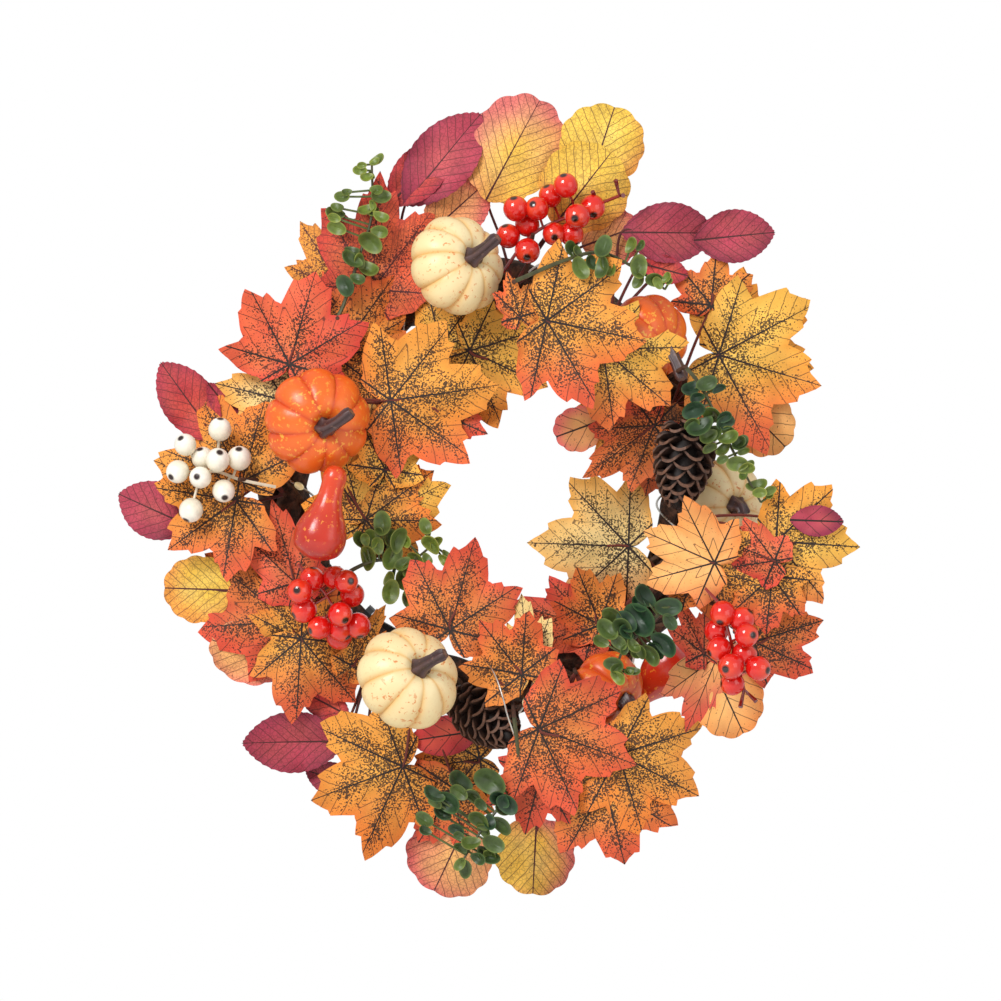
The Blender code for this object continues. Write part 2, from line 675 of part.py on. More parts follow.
def wire_route():
    """Points along the wire with their radii: round its winding, with a swelling for each LED bead."""
    per_turn = math.hypot(math.tau * BUNDLE_RADIUS, math.radians(WIRE_TURN_DEG) * RING_RADIUS)
    bead_turn = BEAD_RADIUS * 1.6 / per_turn
    beads = np.arange(0.46, WIRE_TURNS - 0.1, BEAD_SPACING / per_turn)
    plain = np.arange(0, WIRE_TURNS, 1 / WIRE_TURN_POINTS)
    plain = [turns for turns in plain if np.abs(beads - turns).min() > 1.5 * bead_turn]
    stops = [(turns, WIRE_RADIUS) for turns in plain]
    for turns in beads:
        stops += [(turns - bead_turn, WIRE_RADIUS), (turns, BEAD_RADIUS), (turns + bead_turn, WIRE_RADIUS)]
    stops.sort()
    points = [wire_point(turns) for turns, _ in stops]
    radii = [radius for _, radius in stops]
    lead = box_matrix() @ Vector((BOX_LENGTH / 2 - BOX_WALL - FIT, BOX_WALL + CELL_DIAMETER / 2, 0))
    mouth = box_matrix() @ Vector((BOX_LENGTH / 2 + 3 * FIT, BOX_WALL + CELL_DIAMETER / 2, 0))
    bend = (np.array(mouth) + points[0]) / 2 + np.array([0, 2 * FIT, 0])
    return [np.array(lead), np.array(mouth), bend, *points], [WIRE_RADIUS] * 3 + radii


def make_wire(pile):
    points, radii = wire_route()
    pile.add([tube(points, radii, 6)])
    curve = bpy.data.curves.new("led_wire", "CURVE")
    curve.dimensions = "3D"
    curve.bevel_depth = 1.0
    curve.bevel_resolution = 0
    curve.use_fill_caps = True
    spline = curve.splines.new("POLY")
    spline.points.add(len(points) - 1)
    for stop, point, radius in zip(spline.points, points, radii):
        stop.co = (*point, 1.0)
        stop.radius = radius
    obj = bpy.data.objects.new("led_wire", curve)
    bpy.context.scene.collection.objects.link(obj)
    curve.materials.append(material("silver_wire"))


# ---- the battery box, along its own X (the tangent), Y (to the door) and Z (to the ring's centre)

def box_matrix():
    place = ring_point(BOX_RING_DEG, 0.0, BOX_FRONT)
    return Matrix.Translation(place) @ Matrix.Rotation(math.radians(-90 - BOX_RING_DEG), 4, "Y")


def box_object(name, solids, cutters, finish, origin=(0, 0, 0)):
    """A piece of the battery box, made in the box's own frame, with its origin at that point."""
    obj = mesh_object(name, solids[0])
    combined(obj, solids[1:], "UNION")
    combined(obj, cutters, "DIFFERENCE")
    obj.data.transform(Matrix.Translation(-Vector(origin)))
    obj.matrix_world = box_matrix() @ Matrix.Translation(origin)
    return finished(obj, finish)


def bay_ends():
    """The X limits of the cells' bay: its entry end is -X, and the switch bay is past +X."""
    low = -BOX_LENGTH / 2 + BOX_WALL
    return low, low + BAY_LENGTH


def tie_turns():
    """Where the two ties cross the ring, as turns about its centre from the middle of the box."""
    low, high = bay_ends()
    return math.asin((low + 2 * TIE_WIDTH) / RING_RADIUS), math.asin((high - TIE_WIDTH) / RING_RADIUS)


def swung(solid, turn):
    """A solid made at the middle of the box, turned about the ring's centre, which lies along its +Z."""
    points, faces = solid
    x, z = points[:, 0], RING_RADIUS - points[:, 2]
    along = x * math.cos(turn) + z * math.sin(turn)
    inwards = RING_RADIUS + x * math.sin(turn) - z * math.cos(turn)
    return np.stack([along, points[:, 1], inwards], axis=1), faces


def switch_place():
    return bay_ends()[1] + BOX_WALL + SWITCH_BAY / 2


def make_tray():
    """A tray with a bay for the cells, side grooves for the cover, a bay for the switch, and two lugs."""
    low, high = bay_ends()
    half_length, half_width, half_bay = BOX_LENGTH / 2, BOX_WIDTH / 2, BAY_WIDTH / 2
    ledge = BOX_WALL + BAY_DEPTH
    grooves = half_bay + GROOVE_DEPTH
    knob_room = (KNOB_LENGTH + SWITCH_TRAVEL) / 2 + FIT
    knob_half = KNOB_HALF + FIT
    wire_y = BOX_WALL + CELL_DIAMETER / 2
    inner_wall = -half_width + SWITCH_WALL
    body = block((-half_length, 0, -half_width), (half_length, BOX_DEPTH, half_width))
    cuts = [
        block((low, BOX_WALL, -half_bay), (high, BOX_DEPTH + PAST, half_bay)),
        block(
            (-half_length - PAST, ledge, -grooves),
            (high + GROOVE_DEPTH, ledge + COVER_THICKNESS + 2 * FIT, grooves),
        ),
        block((-half_length - PAST, ledge, -half_bay), (high, BOX_DEPTH + PAST, half_bay)),
        block(
            (high + BOX_WALL, BOX_WALL, inner_wall),
            (half_length - BOX_WALL, BOX_DEPTH - BOX_WALL, half_bay),
        ),
        block(
            (switch_place() - knob_room, ledge / 2 - knob_half, -half_width - PAST),
            (switch_place() + knob_room, ledge / 2 + knob_half, inner_wall + FIT),
        ),
        block(
            (half_length - 2 * BOX_WALL, wire_y - WIRE_HOLE_HALF, -WIRE_HOLE_HALF),
            (half_length + PAST, wire_y + WIRE_HOLE_HALF, WIRE_HOLE_HALF),
        ),
    ]
    lugs, openings = tie_lugs()
    box_object("battery_box", [body, *lugs], cuts + openings, "box_plastic")


def tie_lugs():
    """Low arches on the front of the box, which the ties pass through, and the openings to cut in them."""
    slot = TIE_WIDTH / 2 + FIT
    slot_top = BOX_FRONT - TIE_INNER + FIT
    side = slot + LUG_SIDE
    lug = block((-side, -slot_top - LUG_BAR, -LUG_HALF), (side, KNOB_HALF / 3, LUG_HALF))
    opening = block((-slot, -slot_top, -LUG_HALF - KNOB_HALF), (slot, 0, LUG_HALF + KNOB_HALF))
    return [swung(lug, turn) for turn in tie_turns()], [swung(opening, turn) for turn in tie_turns()]


def make_cover():
    """The sliding cover, with three finger ribs near its entry end."""
    low, high = bay_ends()
    reach = BAY_WIDTH / 2 + GROOVE_DEPTH - FIT
    bottom = BOX_WALL + BAY_DEPTH + FIT
    top = bottom + COVER_THICKNESS
    panel = block((-BOX_LENGTH / 2, bottom, -reach), (high + GROOVE_DEPTH - FIT, top, reach))
    ribs = []
    for index in range(3):
        start = low + (2 + index) * RIB_STEP
        ribs.append(block((start, top - 0.0005, -reach / 2), (start + 0.001, top + 0.0007, reach / 2)))
    box_object("battery_cover", [panel, *ribs], [], "box_plastic", (0, bottom, 0))


def make_switch():
    """The knob stands proud of the slot in its wall, and its shoe runs behind the wall."""
    middle = (BOX_WALL + BAY_DEPTH) / 2
    wall = -BOX_WIDTH / 2
    centre = switch_place() - SWITCH_TRAVEL / 2
    back = wall + SWITCH_WALL + FIT
    reach = (SWITCH_BAY - SWITCH_TRAVEL) / 2 - FIT
    half = KNOB_LENGTH / 2
    knob = block(
        (centre - half, middle - KNOB_HALF, wall - KNOB_PROUD),
        (centre + half, middle + KNOB_HALF, back),
    )
    shoe = block(
        (centre - reach, middle - SHOE_HALF, back - FIT / 4),
        (centre + reach, middle + SHOE_HALF, back + SHOE_DEPTH),
    )
    box_object("switch_slider", [knob, shoe], [], "box_plastic", (centre, middle, wall))


def make_cells():
    """Two cells side by side, one facing each way, each with its raised button end."""
    low, _ = bay_ends()
    radius = CELL_DIAMETER / 2
    start = low + CONTACT_SPACE / 2
    for index, side in enumerate((-1, 1)):
        body = CELL_LENGTH - 0.0014
        profile = [(radius - 0.0006, 0), (radius, 0.0006), (radius, body - 0.0006), (radius - 0.0006, body),
                   (0.0027, body), (0.0027, CELL_LENGTH)]
        place = (start + CELL_LENGTH / 2, BOX_WALL + CELL_GAP + radius, side * (radius + CELL_GAP / 2))
        end = np.array(place) - np.array((side * CELL_LENGTH / 2, 0, 0))
        cell = moved(turned(profile, 12), (side, 0, 0), end)
        box_object(f"battery_cell_{index + 1}", [cell], [], "cell_jacket", place)


def make_contacts():
    """At the entry end one plate bridges both cells; at the switch end the wire's lead plate meets them."""
    low, high = bay_ends()
    middle = BOX_WALL + CELL_GAP + CELL_DIAMETER / 2
    for name, wall, inwards in (("spring_contact", low, 1), ("lead_contact", high, -1)):
        face = wall + inwards * 0.0003
        foot = (face, BOX_WALL + FIT, -BAY_WIDTH / 2 + FIT)
        head = (face + inwards * PLATE_THICKNESS, BOX_WALL + FIT + PLATE_HEIGHT, BAY_WIDTH / 2 - FIT)
        spring_side = inwards * (CELL_DIAMETER + CELL_GAP) / 2
        room = CONTACT_SPACE / 2 - 0.0006
        profile = [(0.0030, 0.0), (0.0017, room)]
        root = np.array((face + inwards * PLATE_THICKNESS / 3, middle, spring_side))
        spring = moved(turned(profile, 8), (inwards, 0, 0), root)
        box_object(name, [block(foot, head), spring], [], "contact_steel")


def band(inner, thickness, width, count):
    """A flat closed band about X."""
    turns = np.arange(count) * math.tau / count
    loops = []
    corner = inner / math.cos(math.pi / count)
    for reach in (corner, corner + thickness):
        y, z = reach * np.cos(turns), reach * np.sin(turns)
        loops += [np.stack([np.full(count, along), y, z], axis=1) for along in (-width / 2, width / 2)]
    faces = []
    for k in range(count):
        m = (k + 1) % count
        a, b, c, d = (np.array((k, m)) + row * count for row in range(4))
        faces += [(a[0], b[0], b[1], a[1]), (c[0], c[1], d[1], d[0]), (a[0], a[1], c[1], c[0])]
        faces.append((b[0], d[0], d[1], b[1]))
    return np.vstack(loops), faces


def make_ties(pile):
    """Flat bands round the bundle, each through its lug on the box."""
    for index, turn in enumerate(tie_turns()):
        points, faces = band(TIE_INNER, TIE_THICKNESS, TIE_WIDTH, 20)
        points, faces = swung((points - (0, BOX_FRONT, 0), faces), turn)
        world = np.array(box_matrix())
        tie = (points @ world[:3, :3].T + world[:3, 3], faces)
        middle = tie[0].mean(axis=0)
        finished(mesh_object(f"box_tie_{index + 1}", tie, middle), "tie_nylon", smooth=True)
        pile.add([tie])


# ---- ornaments, each as a list of (node name, solids, finish, origin)

def leaf_outline(kind, length, width):
    """The leaf's outline along and across its heading, with the point it fans from first."""
    if kind == "maple":
        half = [(math.radians(angle), reach) for angle, reach in MAPLE_HALF]
        rim = [(reach * math.cos(a), -width * reach * math.sin(a)) for a, reach in reversed(half)]
        rim += [(1.0, 0.0)] + [(reach * math.cos(a), width * reach * math.sin(a)) for a, reach in half]
    elif kind == "oval":
        rim = [(-0.02, 0.0)] + [(t, -width / 2 * w) for t, w in OVAL_HALF]
        rim += [(1.0, 0.0)] + [(t, width / 2 * w) for t, w in reversed(OVAL_HALF)]
    else:
        turns = np.radians(np.linspace(-150, 150, 9))
        rim = [(-0.02, 0.0)] + [(0.5 + 0.5 * math.cos(a), width / 2 * math.sin(a)) for a in turns]
    return np.array([(0.10, 0.0), *rim]) * length


def droop(points):
    """How far back a leaf hangs at each place: every leaf follows one dish, so that layers nest."""
    reach = np.hypot(points[:, 0], points[:, 2] - RING_Z) / RING_RADIUS
    return LEAF_DROOP * (reach - 1) ** 2


def leaf_front(leaf, order):
    """The outline as points of the wreath, drooping, and stepped forward by its place in the spray."""
    kind, right, up, heading, length, width = leaf
    along, across = leaf_outline(kind, length * MM * LEAF_SCALE, width).T
    turn = math.radians(heading)
    base = at(right, up)
    x = base[0] + along * math.cos(turn) - across * math.sin(turn)
    z = base[2] + along * math.sin(turn) + across * math.cos(turn)
    front = np.stack([x, np.zeros_like(x), z], axis=1)
    front[:, 1] = droop(front) - LEAF_STEP * order
    return front


def spray(name):
    """Leaves wired to one point of the ring: each is a plate on a petiole that runs behind the spray."""
    finish, hub, leaves = SPRAYS[name]
    solids = [ball(at(*hub, LEAF_THICKNESS + PETIOLE_RADIUS), 2.4 * PETIOLE_RADIUS)]
    for order, leaf in enumerate(leaves):
        front = leaf_front(leaf, order)
        behind = LEAF_THICKNESS + PETIOLE_RADIUS + 0.0002 * order
        top = front[0] + (0, LEAF_THICKNESS / 2, 0)
        foot = np.array([top[0], droop(front[:1])[0] + behind, top[2]])
        solids.append(leaf_on_stalk(front, LEAF_THICKNESS, [top, foot, at(*hub, behind)], PETIOLE_RADIUS))
    return [(name, solids, finish, at(*hub))]


def pumpkin(name):
    """A squashed ribbed ball with a socket in its crown, and the curved stem that plugs into it."""
    finish, right, up, radius, tilt, towards, run_right, run_up = PUMPKINS[name]
    radius *= MM
    half = radius * PUMPKIN_SQUASH
    tilt, towards = math.radians(tilt), math.radians(towards)
    axis = np.array([math.sin(tilt) * math.cos(towards), -math.cos(tilt), math.sin(tilt) * math.sin(towards)])
    centre = at(right, up)
    shoulder = STEM_RADIUS + FIT
    rows = [(0.30 * radius, -0.86 * half)]
    rows += [(radius * math.cos(a), half * math.sin(a)) for a in np.radians((-45, -12, 22, 52))]
    rows += [(0.34 * radius, 0.90 * half), (shoulder, 0.74 * half), (shoulder, 0.74 * half - SOCKET_DEPTH)]

    def ribs(turn, reach, height):
        depth = 0.10 * min(1.0, max(0.0, (reach - shoulder) / (0.3 * radius)))
        return 1 - depth * (0.5 + 0.5 * math.cos(PUMPKIN_LOBES * turn))

    body = moved(turned(rows, 2 * PUMPKIN_LOBES, ribs), axis, centre)
    foot = centre + axis * (0.74 * half - SOCKET_DEPTH + FIT)
    crown = centre + axis * (0.74 * half + 0.0015)
    bend = crown + axis * 0.008
    forward = STEM_FORWARD.get(name, 12.0) * MM
    tip = crown + np.array([run_right * MM, -forward, run_up * MM])
    path = np.vstack([foot, crown, bezier(crown, bend, tip, 3)[1:]])
    radii = np.array([1.0, 1.0, 0.72, 0.62, 0.66]) * STEM_RADIUS
    return [
        (name, [body], finish, centre),
        (name + "_stem", [tube(path, radii, 7)], "stem_foam", crown),
    ]


def gourd(name):
    right, up, heading = GOURDS[name]
    turn = math.radians(heading)
    axis = np.array([math.cos(turn), 0, math.sin(turn)])
    share = GOURD_LENGTH / 0.050
    rows = [(0.40, 0.4), (0.84, 4.2), (1.0, 10.5), (0.96, 17.0), (0.68, 25.0), (0.46, 33.0),
            (0.46, 44.0), (0.30, 49.2)]
    rows = [(reach * GOURD_RADIUS, (height - 13.0) * MM * share) for reach, height in rows]
    centre = at(right, up)
    return [(name, [moved(turned(rows, 11), axis, centre)], "gourd_foam", centre)]


def cone(name):
    """A spindle whose rows of scales stand out as rings."""
    right, up, heading, lift = CONES[name]
    turn, lift = math.radians(heading), math.radians(lift)
    axis = np.array([math.cos(lift) * math.cos(turn), -math.sin(lift), math.cos(lift) * math.sin(turn)])
    rows = []
    for index, t in enumerate(np.linspace(0.02, 0.98, 11)):
        envelope = CONE_RADIUS * math.sin(math.pi * t**0.75) ** 0.6
        rows.append((envelope * (1.0 if index % 2 else 0.84), (t - 0.5) * CONE_LENGTH))
    centre = at(right, up)
    return [(name, [moved(turned(rows, 13), axis, centre)], "cone_scale", centre)]


def nearest_on(route, point):
    """The point of the route nearest to this one, seen from the front."""
    best = None
    for a, b in zip(route, route[1:]):
        run = (b - a)[[0, 2]]
        share = np.clip((point - a)[[0, 2]] @ run / (run @ run), 0.08, 0.92)
        foot = a + share * (b - a)
        gap = np.linalg.norm((point - foot)[[0, 2]])
        if best is None or gap < best[0]:
            best = (gap, foot)
    return best[1]


def pick(name):
    """A wired stem with one berry at the end of each short twig; a few twigs have lost their berry."""
    finish, stem, berries = PICKS[name]
    route = smooth_route([at(right, up) for right, up in stem], 2)
    solids = [tube(route, TWIG_RADIUS, 4)]
    for right, up, lift in berries:
        centre = at(right, up, -lift * MM)
        root = nearest_on(route, centre)
        if (right, up) in BARE_TIPS:
            solids.append(tube([root, centre], [0.8 * TWIG_RADIUS, 1.6 * TWIG_RADIUS], 3))
        else:
            solids.append(tube([root, centre], 0.8 * TWIG_RADIUS, 3))
            solids.append(ball(centre, BERRY_RADIUS))
    return [(name, solids, finish, route[0])]


def sprig(name):
    """A stem with oval leaves: each rises on its neck to one of four levels, so neighbours pass clear."""
    stem, leaves = SPRIGS[name]
    route = smooth_route([at(right, up) for right, up in stem], 2)
    solids = [tube(route, np.linspace(SPRIG_RADIUS, 0.6 * SPRIG_RADIUS, len(route)), 4)]
    for index, (right, up, radius) in enumerate(leaves):
        centre = at(right, up)
        radius *= MM
        root = nearest_on(route, centre)
        reach = np.linalg.norm(centre - root)
        out = (centre - root) / reach
        side = np.array([-out[2], 0, out[0]])
        level = np.array([0, -LEAF_STEP * (index % 4), 0])
        neck = 0.6 * SPRIG_RADIUS
        rim = [(-neck, -neck), (reach - 0.5 * radius, -0.8 * radius), (reach + 0.7 * radius, -0.62 * radius)]
        rim += [(reach + 0.7 * radius, 0.62 * radius), (reach - 0.5 * radius, 0.8 * radius), (-neck, neck)]
        points = [centre + level]
        for along, across in rim:
            points.append(root + along * out + across * side + (level if along > 0 else 0))
        solids.append(plate(np.array(points), LEAF_THICKNESS))
    return [(name, solids, "eucalyptus", route[0])]


MAKERS = ((SPRAYS, spray), (PUMPKINS, pumpkin), (GOURDS, gourd), (CONES, cone), (PICKS, pick), (SPRIGS, sprig))


def lay_ornaments(pile):
    for name in LAYERS:
        maker = next(make for table, make in MAKERS if name in table)
        pieces = maker(name)
        solids = [solid for _, group, _, _ in pieces for solid in group]
        placed = iter(pile.lay(solids))
        for node, group, finish, origin in pieces:
            body = [next(placed) for _ in group]
            shift = body[0][0][0, 1] - group[0][0][0, 1]
            obj = joined(node, body, finish, origin + np.array([0, shift, 0]))
            if len(group) == 1:
                obj.data.shade_smooth()


def main():
    clear_scene()
    pile = Pile(RING_RADIUS + 0.13, 0.0)
    make_ring(pile)
    make_wire(pile)
    make_tray()
    make_cover()
    make_switch()
    make_cells()
    make_contacts()
    make_ties(pile)
    lay_ornaments(pile)


main()
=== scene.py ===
# %% [markdown]
# # A harvest door wreath
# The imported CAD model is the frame: it says where every ornament sits and which body it belongs to. Each step
# below replaces one kind of plain solid with a worked-out surface and a procedural finish. Every shape is a
# function evaluated on whole numpy arrays; only the directions along a tube are carried from point to point.

# %% Load the frame
import math

import bpy
import numpy as np
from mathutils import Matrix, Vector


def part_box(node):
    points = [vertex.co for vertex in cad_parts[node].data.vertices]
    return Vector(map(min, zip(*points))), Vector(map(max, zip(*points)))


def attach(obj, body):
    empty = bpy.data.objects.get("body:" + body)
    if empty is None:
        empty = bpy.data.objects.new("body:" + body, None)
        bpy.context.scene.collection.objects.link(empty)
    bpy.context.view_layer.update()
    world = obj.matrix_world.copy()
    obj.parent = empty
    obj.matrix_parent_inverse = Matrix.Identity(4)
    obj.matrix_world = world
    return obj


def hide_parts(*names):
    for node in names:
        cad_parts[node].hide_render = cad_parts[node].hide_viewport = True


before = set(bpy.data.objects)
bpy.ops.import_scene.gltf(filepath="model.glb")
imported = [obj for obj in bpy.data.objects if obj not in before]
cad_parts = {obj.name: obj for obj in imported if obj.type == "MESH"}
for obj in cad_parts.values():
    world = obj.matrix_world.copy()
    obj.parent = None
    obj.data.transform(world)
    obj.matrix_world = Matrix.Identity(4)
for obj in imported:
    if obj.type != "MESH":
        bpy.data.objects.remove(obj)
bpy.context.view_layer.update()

# %% [markdown]
# ## Places
# The CAD model places ornaments in millimetres right of and above the ring's centre, and lays them on each other
# from back to front. The same tables are used here, and each piece's depth is read from its CAD node's box.

# %% Sizes shared with the CAD model
MM = 0.001
RING_RADIUS = 0.106
CANE_RADIUS = 0.0066
CANE_SPREAD = (CANE_RADIUS + 0.0007) * 2 / math.sqrt(3)
BUNDLE_RADIUS = CANE_SPREAD + CANE_RADIUS
RING_Z = BUNDLE_RADIUS - RING_RADIUS
LEAF_STEP = 0.0014
LEAF_PLATE = 0.0008
LEAF_DROOP = 0.006
BERRY_RADIUS = 0.0059


def place(right, up, y=0.0):
    """A table place, in mm from the ring's centre, as a point in metres."""
    return np.array([right * MM, y, RING_Z + up * MM])


def front_of(node):
    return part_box(node)[0][1]


def middle_of(node):
    low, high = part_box(node)
    return (low[1] + high[1]) / 2


print("ring centre at z", round(RING_Z, 4), "bundle radius", round(BUNDLE_RADIUS, 4))

# %% [markdown]
# ## Surfaces from arrays
# Three builders cover every piece: a tube along a path, a profile turned about an axis, and a sheet spread from a
# centre to an outline. A `Skin` gathers them into one mesh with what the material reads at each point: its base
# colour, its place between the leaf veins, and how densely it is printed.


# %% Curves and tubes
def smooth_curve(points, steps):
    """A Catmull-Rom curve: between each two points, a cubic whose slope at each is half the gap of its neighbours."""
    points = np.asarray(points, float)
    ends = np.vstack([2 * points[0] - points[1], points, 2 * points[-1] - points[-2]])
    t = np.linspace(0, 1, steps, endpoint=False)[:, None]
    runs = [
        0.5 * (2 * b + (c - a) * t + (2 * a - 5 * b + 4 * c - d) * t**2 + (3 * b - a - 3 * c + d) * t**3)
        for a, b, c, d in zip(ends, ends[1:], ends[2:], ends[3:])
    ]
    return np.vstack([*runs, points[-1:]])


def grid_tris(rows, columns, wrap_rows=False):
    """Two triangles for each cell of a grid whose columns close on themselves, and its rows too if asked."""
    i = np.arange(rows if wrap_rows else rows - 1)[:, None]
    k = np.arange(columns)[None, :]
    a, b = i * columns + k, i * columns + (k + 1) % columns
    c, d = (i + 1) % rows * columns + k, (i + 1) % rows * columns + (k + 1) % columns
    return np.concatenate([np.stack([a, b, d], -1).reshape(-1, 3), np.stack([a, d, c], -1).reshape(-1, 3)])


def frames_along(path, closed):
    """Two directions square to a path at each point, each the last one turned as little as it can be."""
    path = np.asarray(path, float)
    steps = np.roll(path, -1, axis=0) - path
    steps /= np.linalg.norm(steps, axis=1)[:, None] + 1e-12
    ahead = steps + np.roll(steps, 1, axis=0)
    if not closed:
        ahead[0], ahead[-1] = steps[0], steps[-2]
    ahead /= np.linalg.norm(ahead, axis=1)[:, None]
    sides = np.empty_like(ahead)
    side = np.cross(ahead[0], (0.31, 0.87, 0.38))
    for index, way in enumerate(ahead):
        side = side - way * (side @ way)
        side = side / np.linalg.norm(side)
        sides[index] = side
    return sides, np.cross(ahead, sides)


def close_ends(points, first, last, columns):
    """A point added at each end of rows of points, and the two fans of triangles that close the rows on them."""
    size = len(points)
    k = np.arange(columns)
    after = (k + 1) % columns
    fans = [
        np.stack([after, k, np.full(columns, size)], -1),
        np.stack([k + size - columns, after + size - columns, np.full(columns, size + 1)], -1),
    ]
    return np.vstack([points, first, last]), fans


def tube(path, radius, columns, closed=False, ridges=None):
    """Circles of that radius square to the path, joined up; ridges(turn) scales the circle, and ends are capped."""
    path = np.asarray(path, float)
    one, two = frames_along(path, closed)
    turn = np.arange(columns) * math.tau / columns
    reach = np.broadcast_to(radius, len(path))[:, None] * (np.ones(columns) if ridges is None else ridges(turn))
    points = path[:, None] + reach[..., None] * (
        np.cos(turn)[None, :, None] * one[:, None] + np.sin(turn)[None, :, None] * two[:, None]
    )
    points = points.reshape(-1, 3)
    tris = grid_tris(len(path), columns, closed)
    if not closed:
        points, fans = close_ends(points, path[0], path[-1], columns)
        tris = np.concatenate([tris, *fans])
    return points, tris


# %% Turned and spread surfaces
def turned(profile, columns, swell=None):
    """A profile of (radius, height) from bottom to top turned about Z, closed at both ends by a point on the axis."""
    profile = np.asarray(profile, float)
    turn = np.arange(columns) * math.tau / columns
    reach = profile[:, 0][:, None] * (1.0 if swell is None else swell(turn[None, :], profile))
    points = np.stack([reach * np.cos(turn), reach * np.sin(turn), np.repeat(profile[:, 1][:, None], columns, 1)], -1)
    foot, crown = (0, 0, profile[0, 1]), (0, 0, profile[-1, 1])
    points, fans = close_ends(points.reshape(-1, 3), foot, crown, columns)
    return points, np.concatenate([grid_tris(len(profile), columns), *fans])


def spread(outline, rings):
    """Points from the origin out to an outline at each share in rings, with the triangles between them."""
    count = len(outline)
    flat = np.vstack([[(0.0, 0.0)], (np.asarray(rings)[:, None, None] * outline[None]).reshape(-1, 2)])
    share = np.concatenate([[0.0], np.repeat(rings, count)])
    k = np.arange(count)
    heart = np.stack([np.zeros(count, int), 1 + k, 1 + (k + 1) % count], -1)
    tris = np.concatenate([heart, 1 + grid_tris(len(rings), count)[:, ::-1]])
    return flat, share, tris


def shell(front, tris, count, thickness):
    """A sheet given a back: the same points moved by the thickness, and a strip round the outline's last ring."""
    size = len(front)
    back = front + thickness
    k = size - count + np.arange(count)
    m = size - count + (np.arange(count) + 1) % count
    rim = np.concatenate([np.stack([k, k + size, m + size], -1), np.stack([k, m + size, m], -1)])
    return np.vstack([front, back]), np.concatenate([tris, tris[:, ::-1] + size, rim])


def turn_to(points, axis, centre, spin=0.0):
    """Points with their own Z along axis and their origin at centre."""
    axis = np.asarray(axis, float) / np.linalg.norm(axis)
    side = np.cross((0.0, 1.0, 0.0) if abs(axis[1]) < 0.9 else (1.0, 0.0, 0.0), axis)
    side /= np.linalg.norm(side)
    other = np.cross(axis, side)
    first = math.cos(spin) * side + math.sin(spin) * other
    second = math.cos(spin) * other - math.sin(spin) * side
    turn = np.stack([first, second, axis])
    return points @ turn + centre


# %% [markdown]
# ## Colours and nodes
# Colours are written as they look on a screen, as sRGB hex, and one function turns them into the linear values a
# shader works with. One more function adds a node with its settings and links, so each material reads as a list.


# %% Helpers for colours, nodes and meshes
def linear(text):
    """sRGB hex to linear: c/12.92 below 0.04045, else ((c + 0.055) / 1.055) to the power 2.4."""
    c = np.array([int(text[k : k + 2], 16) for k in (1, 3, 5)]) / 255
    return np.where(c <= 0.04045, c / 12.92, ((c + 0.055) / 1.055) ** 2.4)


def rgba(text):
    return (*linear(text), 1.0)


def add(tree, kind, inputs=(), **settings):
    """One new shader node: settings are its own, and inputs maps a socket to a value, or to what to link to it."""
    made = tree.nodes.new("ShaderNode" + kind)
    for key, value in settings.items():
        setattr(made, key, value)
    for key, value in dict(inputs).items():
        value = value.outputs[0] if isinstance(value, bpy.types.Node) else value
        if isinstance(value, bpy.types.NodeSocket):
            tree.links.new(value, made.inputs[key])
        else:
            made.inputs[key].default_value = value
    return made


def finish(name, **sockets):
    """A material of one Principled shader with these constant sockets, and its node tree."""
    made = bpy.data.materials.new(name)
    made.use_nodes = True
    shader = made.node_tree.nodes["Principled BSDF"]
    for key, value in sockets.items():
        shader.inputs[key.replace("_", " ")].default_value = value
    return made, made.node_tree, shader


def join(source, shader, socket):
    """Links a node's first output, or the output given, to one of the shader's sockets."""
    out = source.outputs[0] if isinstance(source, bpy.types.Node) else source
    shader.id_data.links.new(out, shader.inputs[socket])


def tone_of(tree):
    return add(tree, "Attribute", attribute_name="tone").outputs["Color"]


def noise(tree, scale, detail, roughness=0.5):
    """A noise in object coordinates, of scale cells to the metre."""
    where = add(tree, "TexCoord").outputs["Object"]
    return add(tree, "TexNoise", {"Vector": where, "Scale": scale, "Detail": detail, "Roughness": roughness})


def ramp(tree, source, *limits):
    """The source between the first two limits, carried to between the last two."""
    return add(tree, "MapRange", {0: source, **dict(enumerate(limits, 1))})


def combine(tree, operation, *terms):
    return add(tree, "Math", dict(enumerate(terms)), operation=operation)


def emboss(shader, height, strength, distance):
    """A bump of that height node, distance metres deep, on the shader's normal."""
    join(add(shader.id_data, "Bump", {"Strength": strength, "Distance": distance, "Height": height}), shader, "Normal")


def mottled(name, colour, grain, limits, bump=None, **sockets):
    """A material whose colour, or the tone attribute if None, is scaled by a noise carried through limits."""
    made, tree, shader = finish(name, **sockets)
    cloud = noise(tree, *grain)
    base = tone_of(tree) if colour is None else linear(colour)
    join(add(tree, "VectorMath", {0: base, 3: ramp(tree, cloud, *limits)}, operation="SCALE"), shader, "Base Color")
    if bump:
        emboss(shader, cloud, *bump)
    return made


